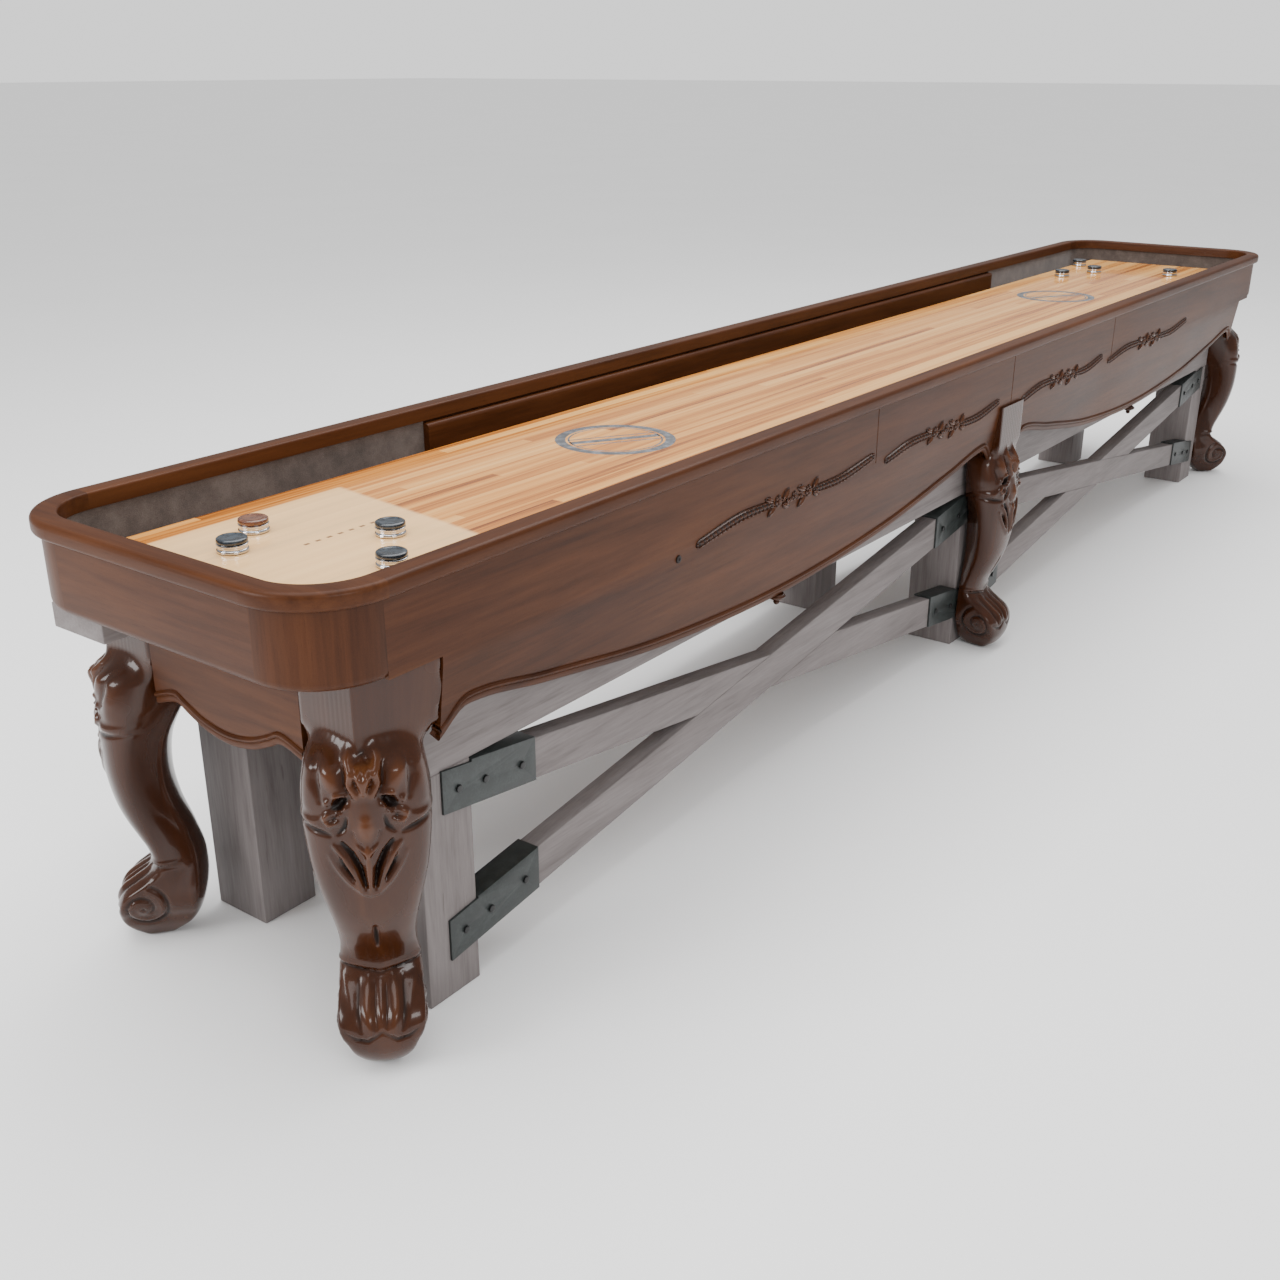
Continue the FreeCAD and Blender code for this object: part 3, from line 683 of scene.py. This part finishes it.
# Front carving, (sideways, height) points; each line is drawn on both halves of the knee
knifeLines = [
    ([(0.0, 0.580), (0.0, 0.552)], 0.010, -0.009),                              # bud between two lobes
    ([(0.019, 0.584), (0.021, 0.566), (0.014, 0.548)], 0.0085, 0.012),
    ([(0.0, 0.562), (0.004, 0.546), (0.0, 0.522)], 0.0095, 0.020),
    ([(0.010, 0.552), (0.012, 0.536), (0.006, 0.520)], 0.0028, -0.006),
    ([(0.020, 0.552), (0.021, 0.530), (0.012, 0.512)], 0.0062, 0.008),
    ([(0.031, 0.560), (0.030, 0.532), (0.022, 0.510)], 0.0040, -0.006),
    ([(0.052, 0.562), (0.050, 0.540), (0.042, 0.516)], 0.0150, 0.007),          # smooth shoulders
    ([(0.078, 0.560), (0.086, 0.530), (0.090, 0.490)], 0.0120, 0.004),
    ([(0.068, 0.560), (0.072, 0.530), (0.068, 0.500)], 0.0050, -0.004),
    ([(0.032, 0.506), (0.040, 0.500), (0.048, 0.488)], 0.0082, -0.015),         # deep eyes
    ([(0.026, 0.512), (0.040, 0.513), (0.053, 0.500)], 0.0036, 0.006),
    ([(0.029, 0.494), (0.030, 0.492)], 0.0048, 0.008),
    ([(0.056, 0.500), (0.057, 0.498)], 0.0060, 0.006),
    ([(0.036, 0.484), (0.050, 0.486), (0.060, 0.476), (0.054, 0.464), (0.043, 0.468)], 0.0042, 0.008),  # curls
    ([(0.049, 0.474), (0.050, 0.473)], 0.0050, -0.007),
    ([(0.030, 0.476), (0.034, 0.460), (0.044, 0.450)], 0.0042, -0.006),
    ([(0.100, 0.456), (0.076, 0.450), (0.056, 0.446)], 0.0046, -0.005),
    ([(0.100, 0.468), (0.080, 0.464), (0.068, 0.470)], 0.0070, 0.004),
    ([(0.0, 0.506), (0.0, 0.460), (0.0, 0.430)], 0.0180, 0.005),                # plain shield
    ([(0.0, 0.470), (0.0, 0.448)], 0.0110, 0.005),
    ([(0.022, 0.452), (0.014, 0.434), (0.006, 0.424)], 0.0036, -0.006),
    ([(0.0, 0.424), (0.0, 0.380), (0.0, 0.346)], 0.0056, 0.007),                # leaf with two pairs of grooves
    ([(0.040, 0.432), (0.027, 0.414), (0.015, 0.388), (0.008, 0.356)], 0.0048, -0.011),
    ([(0.050, 0.428), (0.036, 0.410), (0.025, 0.384), (0.014, 0.354)], 0.0050, 0.006),
    ([(0.044, 0.402), (0.036, 0.388), (0.025, 0.368)], 0.0040, -0.008),
    ([(0.058, 0.410), (0.048, 0.390), (0.032, 0.366), (0.012, 0.344), (0.0, 0.338)], 0.0045, 0.004),
    ([(0.018, 0.446), (0.012, 0.428), (0.0, 0.412)], 0.0040, 0.005),
    ([(0.0, 0.268), (0.0, 0.220)], 0.0040, -0.006),                             # shin and ankle
    ([(0.074, 0.176), (0.040, 0.172), (0.0, 0.163)], 0.0040, 0.0035),
    ([(0.074, 0.168), (0.040, 0.163), (0.0, 0.154)], 0.0038, -0.0045),
    ([(0.020, 0.150), (0.023, 0.122), (0.018, 0.086)], 0.0080, 0.0055),         # lobes on the toe
    ([(0.0, 0.140), (0.0, 0.120), (0.0, 0.104)], 0.0050, 0.0035),
    ([(0.009, 0.142), (0.010, 0.116), (0.008, 0.092)], 0.0036, -0.0038),
    ([(0.037, 0.148), (0.040, 0.120), (0.034, 0.088)], 0.0052, -0.0040),
    ([(0.060, 0.150), (0.052, 0.138), (0.046, 0.120)], 0.0060, 0.0035),
    ([(0.0, 0.086), (0.024, 0.070), (0.044, 0.074), (0.060, 0.084)], 0.0036, -0.0045),
]


def spiral(centre, start, end, turns, from0, steps=26):
    line = []
    for i in range(steps + 1):
        t = i / steps
        radius = start + (end - start) * t
        angle = math.radians(from0) + turns * 2 * math.pi * t
        line.append((centre[0] + radius * math.cos(angle), centre[1] + radius * math.sin(angle)))
    return line


scrollLines = [                                      # volute on each side of the foot, (outward, height) points
    (spiral((0.080, 0.082), 0.050, 0.014, 1.30, 110), 0.0050, -0.0065),
    (spiral((0.080, 0.082), 0.041, 0.016, 1.10, 110), 0.0070, 0.0045),
    ([(0.080, 0.082), (0.0805, 0.0825)], 0.0120, 0.0060),
    ([(0.080, 0.082), (0.0805, 0.0825)], 0.0036, -0.0140),
]


def pressed(points, lines):                          # relief left by all the lines at an array of flat points
    relief = np.zeros(len(points))
    for line, width, height in lines:
        nearest = np.full(len(points), 9.0)
        share = np.zeros(len(points))
        for i, (a, b) in enumerate(zip(line, line[1:])):
            a, b = np.array(a), np.array(b)
            t = np.clip(((points - a) @ (b - a)) / ((b - a) @ (b - a)), 0, 1)
            gap = np.hypot(*(points - a - t[:, None] * (b - a)).T)
            better = gap < nearest
            nearest = np.where(better, gap, nearest)
            share = np.where(better, (i + t) / (len(line) - 1), share)
        taper = 0.55 + 0.45 * np.sin(np.pi * np.clip(share, 0.02, 0.98))
        relief += height * taper * np.exp(-(nearest / (width * (0.6 + 0.4 * taper))) ** 2)
    return relief


def kneeOutline(z, curves):                          # closed outline of the carved part at one height
    front, back = curves["front"](z), curves["back"](z)
    half = curves["half"](z)
    crease = front - (front - back) * curves["crease"](z)
    narrow = half * curves["backShare"](z)
    line = []
    for angle in np.radians(np.linspace(0, 90, 24)):
        line.append((crease + (front - crease) * math.cos(angle) ** 0.85, half * math.sin(angle)))
    soft = legLook["soft"]
    for k in np.linspace(0, 1, 12)[1:]:
        line.append((crease + (back + soft - crease) * k, half + (narrow - half) * k ** 1.4))
    for angle in np.radians(np.linspace(0, 90, 10))[1:]:
        line.append((back + soft - soft * math.sin(angle), narrow * math.cos(angle)))
    return line + [(s, -w) for s, w in reversed(line[1:-1])]


def cornerBlock(z):                                  # square with the table, but turned in to meet the side apron
    side = sideFace(z) - legPlace["corner"][1] - legLook["clear"]
    half, out = legLook["blockHalf"], legLook["blockOut"]
    corners = [(out, legLook["turnedIn"]), (-half, side), (-half, -half), (out, -half)]
    return [((a + b) / math.sqrt(2), (b - a) / math.sqrt(2)) for a, b in corners]


def middleBlock(z):                                  # the same at every height
    half, front, back = legLook["middleHalf"], legLook["middleFront"], legLook["middleBack"]
    return [(front, -half), (front, half), (back, half), (back, -half)]


def polar(outline, centre, angles):                  # distance to an outline in each direction
    fine = []
    for a, b in zip(outline, outline[1:] + outline[:1]):
        for k in range(12):
            fine.append((a[0] + (b[0] - a[0]) * k / 12, a[1] + (b[1] - a[1]) * k / 12))
    fine = np.array(fine) - np.array([centre, 0.0])
    around = np.arctan2(fine[:, 1], fine[:, 0])
    order = np.argsort(around)
    return np.interp(angles, around[order], np.hypot(*fine.T)[order], period=2 * math.pi)


def carvedLeg(name, block, scribe=None):             # scribe is where a flat back cuts the leg off
    curves = {key: smoothLine(legLook[key]) for key in ("front", "back", "half", "crease", "backShare")}
    low = legLook["front"][0][0]
    lower = int((legLook["blendTo"] - low) / legLook["step"])
    heights = [low + (legLook["blendTo"] - low) * i / lower for i in range(lower + 1)]
    heights += list(np.linspace(legLook["blendTo"], boxRing["low"], 14)[1:])
    count = legLook["sides"]
    turn = np.linspace(-math.pi, math.pi, count + 1)
    turn = turn - 0.32 * np.sin(turn)                # more points round the front
    rings = []
    reliefs = []
    for z in heights:
        kneeZ = min(z, legLook["blendTo"])
        front, back = float(curves["front"](kneeZ)), float(curves["back"](kneeZ))
        centre = (front + back) / 2
        if scribe is not None:
            centre = max(centre, scribe + 0.012)
        mix = np.clip((z - legLook["blendFrom"]) / (legLook["blendTo"] - legLook["blendFrom"]), 0, 1)
        mix = mix * mix * (3 - 2 * mix)
        radius = (1 - mix) * polar(kneeOutline(kneeZ, curves), centre, turn)
        radius += mix * polar(block(z), centre, turn)
        s, w = centre + radius * np.cos(turn), radius * np.sin(turn)
        facing = np.clip((np.cos(turn) + 0.25) / 0.6, 0, 1)
        sideways = np.clip((np.abs(np.sin(turn)) - 0.45) / 0.35, 0, 1)
        level = np.full(count + 1, z)
        cut = pressed(np.column_stack([np.abs(w), level]), knifeLines) * facing
        if z < 0.17:
            cut += pressed(np.column_stack([s, level]), scrollLines) * sideways
        cut *= 1 - mix
        s = np.minimum(s + cut * np.cos(turn), legLook["limit"])
        w = w + cut * np.sin(turn)
        if scribe is not None:
            s = np.maximum(s, scribe)
        rings.append((s, w, level))
        reliefs.append(cut)
    piece = sheetOf(name, count + 1, len(heights), lambda column, row: (
        float(rings[row][0][column]), float(rings[row][1][column]), float(rings[row][2][column])))
    # relief for the carved finish: sunk parts get dark glaze and painted shade, raised parts a lighter tone
    relief = piece.data.attributes.new("relief", "FLOAT", "POINT")
    flat = np.concatenate(reliefs)
    relief.data.foreach_set("value", np.clip(0.5 + flat / 0.018, 0, 1).astype(np.float32))
    openMesh(piece)
    bpy.ops.mesh.remove_doubles(threshold=1e-5)
    bpy.ops.mesh.select_all(action="DESELECT")
    bpy.ops.mesh.select_mode(type="EDGE")
    bpy.ops.mesh.select_non_manifold()
    bpy.ops.mesh.edge_face_add()
    bpy.ops.mesh.select_all(action="SELECT")
    bpy.ops.mesh.normals_make_consistent(inside=False)
    closeMesh()
    return work(piece, "SMOOTH", factor=0.35, iterations=1)


def placeLeg(piece, name, degrees, x, y, flip=False):
    leg = copyOf(piece, name, 1, -1 if flip else 1)
    leg.data.transform(Matrix.Translation((x, y, 0)) @ Matrix.Rotation(math.radians(degrees), 4, "Z"))
    return leg


print("stage: legs")
corner = carvedLeg("cornerLeg", cornerBlock)
middle = carvedLeg("middleLeg", middleBlock, legLook["flatBack"])
for end, x in (("near", -1), ("far", 1)):
    for side, y in (("front", -1), ("back", 1)):
        name = "leg" + end.title() + side.title()
        out = math.degrees(math.atan2(y, x))
        leg = placeLeg(corner, name, out, x * legPlace["corner"][0], y * legPlace["corner"][1], flip=(x * y < 0))
        hand(leg, carved, "carved_walnut", f"leg_{end}_{side}", smooth=60)
for side, y in (("front", -1), ("back", 1)):
    leg = placeLeg(middle, "legMiddle" + side.title(), 90 * y, 0, y * legPlace["middle"][1])
    hand(leg, carved, "carved_walnut", f"leg_middle_{side}", smooth=60)
bpy.data.objects.remove(corner)
bpy.data.objects.remove(middle)


# Carved strips: beaded ribbons that meet at a spray of flowers and leaves

stripLook = {
    "spans": [(-1.490, -0.775), (-0.725, -0.080), (0.072, 0.690), (0.740, 1.515)],
    "z": 0.708, "rise": 0.013, "face": -boxRing["halfY"], "width": 0.0115, "spray": 0.105, "rib": 0.015,
    "flowers": [(-0.060, 0.0125), (0.004, 0.0100), (0.062, 0.0125)],            # (place, radius)
    "beads": [-0.024, -0.012, 0.018, 0.030],
    "leaves": [                                      # (place, height, length, width, degrees)
        (-0.082, 0.004, 0.036, 0.0075, 150), (-0.074, -0.006, 0.034, 0.0075, 205),
        (-0.046, 0.000, 0.040, 0.0080, 30), (-0.046, -0.006, 0.038, 0.0075, -28),
        (0.048, 0.006, 0.038, 0.0080, 152), (0.046, -0.006, 0.036, 0.0075, 208),
        (0.076, 0.004, 0.036, 0.0075, 30), (0.080, -0.004, 0.034, 0.0075, -26)],
}


def stripLine(start, end):
    middle, quarter = (start + end) / 2, (end - start) / 4
    z, rise = stripLook["z"], stripLook["rise"]
    return smoothLine([(start, z - rise), (middle - quarter, z + rise / 2), (middle, z),
                       (middle + quarter, z - rise / 2), (end, z + rise)])


def ribbon(line, start, end):
    columns = int((end - start) / 0.0028)
    rows = 15

    def place(column, row):
        x = start + (end - start) * column / (columns - 1)
        across = 2 * row / (rows - 1) - 1
        ending = min(1.0, min(x - start, end - x) / 0.016)
        belly = 0.82 + 0.18 * math.sin((x - start) / (end - start) * math.pi)
        narrow = math.sqrt(max(ending * (2 - ending), 0.0)) * belly
        rib = 0.5 + 0.5 * math.cos(2 * math.pi * x / stripLook["rib"])
        cord = math.exp(-((abs(across) - 0.74) / 0.15) ** 2)
        bead = math.exp(-(across / 0.42) ** 2) * rib
        proud = (0.0052 * cord + 0.0060 * bead) * narrow - 0.0012 * (abs(across) > 0.98)
        return (x, stripLook["face"] - max(proud, -0.001), float(line(x)) + across * stripLook["width"] * narrow)
    return sheetOf("ribbon", columns, rows, place)


def leafShape(x, z, length, width, degrees):
    def place(column, row):
        t = column / 12
        across = 2 * row / 8 - 1
        spread = width * math.sin(math.pi * min(t * 1.08, 1)) ** 0.8 * (1 + 0.16 * math.cos(t * 26))
        u, v = length * t, across * spread + 0.006 * t * t
        a = math.radians(degrees)
        proud = 0.0065 * (1 - across**2) ** 0.6 * math.sin(math.pi * min(t + 0.12, 1)) ** 0.5
        proud -= 0.0022 * math.exp(-(across / 0.16) ** 2)
        return (x + u * math.cos(a) - v * math.sin(a), stripLook["face"] - max(proud, 0.0),
                z + u * math.sin(a) + v * math.cos(a))
    return sheetOf("leaf", 13, 9, place)


def bead(x, z, radius, proud=0.7):
    bpy.ops.mesh.primitive_uv_sphere_add(segments=12, ring_count=8, radius=radius,
                                         location=(x, stripLook["face"], z), rotation=(math.pi / 2, 0, 0))
    piece = bpy.context.object
    piece.scale = (1, 1, proud)
    return settle(piece)


def flower(x, z, radius):
    petals = [bead(x, z, radius * 0.42, 1.6)]
    for k in range(6):
        angle = math.radians(60 * k + 15)
        petals.append(bead(x + radius * 0.68 * math.cos(angle), z + radius * 0.68 * math.sin(angle),
                           radius * 0.40, 0.85))
    return petals


def carvedStrip(start, end):
    line = stripLine(start, end)
    middle = (start + end) / 2
    spray = stripLook["spray"]
    parts = [ribbon(line, start, middle - spray * 0.75), ribbon(line, middle + spray * 0.75, end)]
    for offset, radius in stripLook["flowers"]:
        parts += flower(middle + offset, float(line(middle + offset)) + 0.002, radius)
    for offset, rise, length, width, turn in stripLook["leaves"]:
        x = middle + offset
        parts.append(leafShape(x, float(line(x)) + rise, length, width, turn))
    for offset in stripLook["beads"]:
        parts.append(bead(middle + offset, float(line(middle + offset)) - 0.004, 0.0055, 0.9))
    return parts


print("stage: carved strips")
frontParts = []
for start, end in stripLook["spans"]:
    frontParts += carvedStrip(start, end)
frontStrips = joined(frontParts, "carvedStripsFront")
# the lowest parts of the strips take the dark glaze and painted shade of the carved finish
giveRelief(frontStrips, lambda point: stripLook["face"] - point.y - 0.0022, 0.007)
backStrips = copyOf(frontStrips, "carvedStripsBack", -1, -1)
hand(frontStrips, carved, "carved_walnut", "carved_strips_front", smooth=50)
hand(backStrips, carved, "carved_walnut", "carved_strips_back", smooth=50)

plugLook = {
    "x": -1.546, "z": 0.684,
    "profile": [(0.0075, -0.004), (0.0078, 0.0012), (0.0070, 0.0022), (0.0030, 0.0026), (0.0024, 0.0014),
                (0.0010, 0.0012)],
}
plug = turnedPiece("screwPlug", 0, 0, plugLook["profile"], 24)
plug.data.transform(Matrix.Translation((plugLook["x"], -sideFace(plugLook["z"]), plugLook["z"]))
                    @ Matrix.Rotation(math.pi / 2, 4, "X"))
# the whole plug takes the darkest colour of the carved finish: dark glaze and painted shade
giveRelief(plug, lambda point: -1.0, 1.0)
hand(plug, carved, "carved_walnut")


# Grey timber base: each stick eased along its edges

def easedCopy(node, name, edge, steps=2):
    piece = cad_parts[node].copy()
    piece.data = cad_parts[node].data.copy()
    bpy.context.scene.collection.objects.link(piece)
    piece.name = name
    piece.parent = None
    for key in list(piece.keys()):
        del piece[key]
    openMesh(piece)
    bpy.ops.mesh.remove_doubles(threshold=1e-5)
    bpy.ops.mesh.dissolve_limited(angle_limit=math.radians(2))
    bpy.ops.mesh.normals_make_consistent(inside=False)
    closeMesh()
    piece.data.materials.clear()
    return work(piece, "BEVEL", width=edge, segments=steps, limit_method="ANGLE", angle_limit=math.radians(40))


print("stage: timber base")
sticks = {
    "top_beam_front": "x", "top_beam_back": "x", "long_beam_front": "x", "long_beam_back": "x",
    "cross_beams": "y", "posts_near": "z", "posts_middle": "z", "posts_far": "z", "braces_front": "x",
    "braces_back": "x",
}
for node, along in sticks.items():
    words = node.split("_")
    name = words[0] + "".join(w.title() for w in words[1:])
    hand(easedCopy(node, name, 0.0022), timber[along], "grey_timber", node)
hand(easedCopy("brackets", "brackets", 0.0010), blackSteel, "black_steel", "brackets")
hand(easedCopy("bracket_bolts", "bracketBolts", 0.0018, 3), boltSteel, "bolt_steel", "bracket_bolts")
hand(easedCopy("leg_glides", "legGlides", 0.0010), glidePlastic, "glide_plastic", "leg_glides")


# Medallions: a silver ring and a slanting bar inlaid in the maple

medallionLook = {
    "x": 1.250, "radius": 0.130, "ring": 0.022, "line": 0.103, "lineWidth": 0.004, "play": 0.0004,
    "bars": [(0.0, 0.020), (0.026, 0.005), (-0.026, 0.005)],                    # (sideways, width)
    "turn": -32.0, "deep": 0.001, "proud": 0.00012, "ease": 0.00006,
}


def inlay(x, name):
    look = medallionLook
    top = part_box("playing_surface")[1].z
    bpy.ops.mesh.primitive_circle_add(vertices=96, radius=look["radius"], fill_type="NGON", location=(x, 0, top))
    disc = bpy.context.object
    settle(disc)
    openMesh(disc)
    pushDown(look["deep"])
    closeMesh()
    disc.data.materials.append(fieldTop)
    parts = [disc]
    for outer, width in ((look["radius"], look["ring"]), (look["line"], look["lineWidth"])):
        bpy.ops.mesh.primitive_circle_add(vertices=96, radius=outer - look["play"], fill_type="NGON",
                                          location=(x, 0, top + look["proud"]))
        band = settle(bpy.context.object)
        openMesh(band)
        bpy.ops.mesh.inset(thickness=width, depth=0)
        bpy.ops.mesh.delete(type="FACE")
        pushDown(2 * look["proud"])
        closeMesh()
        band.data.materials.append(inlaySilver)
        parts.append(band)
    reach = look["line"] - look["lineWidth"] / 2
    for offset, width in look["bars"]:
        bpy.ops.mesh.primitive_cube_add(size=1)
        bar = bpy.context.object
        bar.scale = (2 * math.sqrt(reach**2 - offset**2), width, 2 * look["proud"])
        settle(bar)
        bar.data.transform(Matrix.Translation((x, 0, top)) @ Matrix.Rotation(math.radians(look["turn"]), 4, "Z")
                           @ Matrix.Translation((0, offset, 0)))
        openMesh(bar)
        bpy.ops.mesh.bevel(offset=look["ease"], segments=1, affect="EDGES")
        closeMesh()
        bar.data.materials.append(inlaySilver)
        parts.append(bar)
    return joined(parts, name)


print("stage: medallions")
discs = [inlay(-medallionLook["x"], "inlayNear"), inlay(medallionLook["x"], "inlayFar")]
medallions = joined(discs, "medallions")
hand(medallions, [fieldTop, inlaySilver], "medallion_metal", "medallions")


# Weights: a steel body with a rolled waist and a moulded cap

weightLook = {
    "body": [(0.0225, 0.0), (0.0255, 0.0004), (0.0268, 0.0018), (0.0270, 0.0040), (0.0264, 0.0056),
             (0.0248, 0.0068), (0.0244, 0.0086), (0.0248, 0.0104), (0.0262, 0.0116), (0.0268, 0.0132),
             (0.0264, 0.0148), (0.0250, 0.0158), (0.0232, 0.0160)],
    "cap": [(0.0225, 0.0158), (0.0250, 0.0164), (0.0262, 0.0182), (0.0264, 0.0206), (0.0256, 0.0232),
            (0.0236, 0.0247), (0.0212, 0.0250), (0.0190, 0.0246), (0.0172, 0.0238), (0.0120, 0.0234),
            (0.0040, 0.0233)],
}

print("stage: weights")
for number in range(1, 9):
    node = f"weight_{number}"
    low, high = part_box(node)
    x, y = (low.x + high.x) / 2, (low.y + high.y) / 2
    body = turnedPiece("body", x, y, [(r, low.z + h) for r, h in weightLook["body"]], 48)
    body.data.materials.append(brightSteel)
    cap = turnedPiece("cap", x, y, [(r, low.z + h) for r, h in weightLook["cap"]], 48)
    capFinish = capBrown if number == 2 else capDark
    cap.data.materials.append(capFinish)
    weight = joined([body, cap], f"weight{number}")
    hand(weight, [brightSteel, capFinish], "weight_steel", node, body=node)


# Floor, light and camera

print("stage: floor, light and camera")
floorFinish = Finish("paleFloor", Roughness=0.55, Specular_IOR_Level=0.2)
floorTone = floorFinish.noise(0.8, None, 2.0)
floorMaterial = floorFinish.show(floorFinish.tint(floorTone, (0.86, 0.86, 0.86), (0.90, 0.90, 0.90)))
bpy.ops.mesh.primitive_plane_add(size=240, location=(0, 0, -0.0005))
floor = bpy.context.object
floor.name = "floor"
floor.data.materials.append(floorMaterial)

world = bpy.data.worlds.new("studio")
bpy.context.scene.world = world
world.use_nodes = True
sky = world.node_tree
rays = sky.nodes.new("ShaderNodeLightPath")
even = sky.nodes["Background"]                       # the room as it lights the table and as it is seen
even.inputs["Strength"].default_value = 1.25
mirrored = sky.nodes.new("ShaderNodeBackground")     # the darker room that polished wood mirrors
mirrored.inputs["Strength"].default_value = 0.42
for shade in (even, mirrored):
    shade.inputs["Color"].default_value = (1.0, 1.0, 1.0, 1)
either = sky.nodes.new("ShaderNodeMixShader")
sky.links.new(rays.outputs["Is Glossy Ray"], either.inputs[0])
sky.links.new(even.outputs[0], either.inputs[1])
sky.links.new(mirrored.outputs[0], either.inputs[2])
sky.links.new(either.outputs[0], sky.nodes["World Output"].inputs["Surface"])


def softLight(name, place, aim, size, power):
    lamp = bpy.data.lights.new(name, "AREA")
    lamp.shape = "RECTANGLE"
    lamp.size, lamp.size_y = size
    lamp.energy = power
    holder = bpy.data.objects.new(name, lamp)
    bpy.context.scene.collection.objects.link(holder)
    holder.location = place
    holder.rotation_euler = (Vector(aim) - Vector(place)).to_track_quat("-Z", "Y").to_euler()
    holder.visible_camera = False


softLight("overhead", (0.0, 0.4, 5.0), (0.0, 0, 0.6), (9.0, 4.0), 420)
softLight("nearEnd", (-6.0, 1.8, 2.4), (-2.4, 0.0, 0.5), (2.2, 1.6), 120)
softLight("front", (-3.6, -5.0, 3.4), (-1.2, 0.0, 0.4), (2.6, 1.2), 90)

cameraLook = {                                       # angles in radians, lens and sensor in millimetres
    "place": (-3.5913, -1.8035, 1.5424), "heading": 0.6425, "down": 0.3908, "lens": 39.5485, "sensor": 36.0,
    "shift": (0.00432, 0.00208),
}
lens = bpy.data.cameras.new("camera")
lens.sensor_width = cameraLook["sensor"]
lens.lens = cameraLook["lens"]
lens.shift_x, lens.shift_y = cameraLook["shift"]
camera = bpy.data.objects.new("camera", lens)
bpy.context.scene.collection.objects.link(camera)
camera.location = cameraLook["place"]
heading, down = cameraLook["heading"], cameraLook["down"]
forward = Vector((math.cos(down) * math.cos(heading), math.cos(down) * math.sin(heading), -math.sin(down)))
camera.rotation_euler = forward.to_track_quat("-Z", "Y").to_euler()
bpy.context.scene.camera = camera
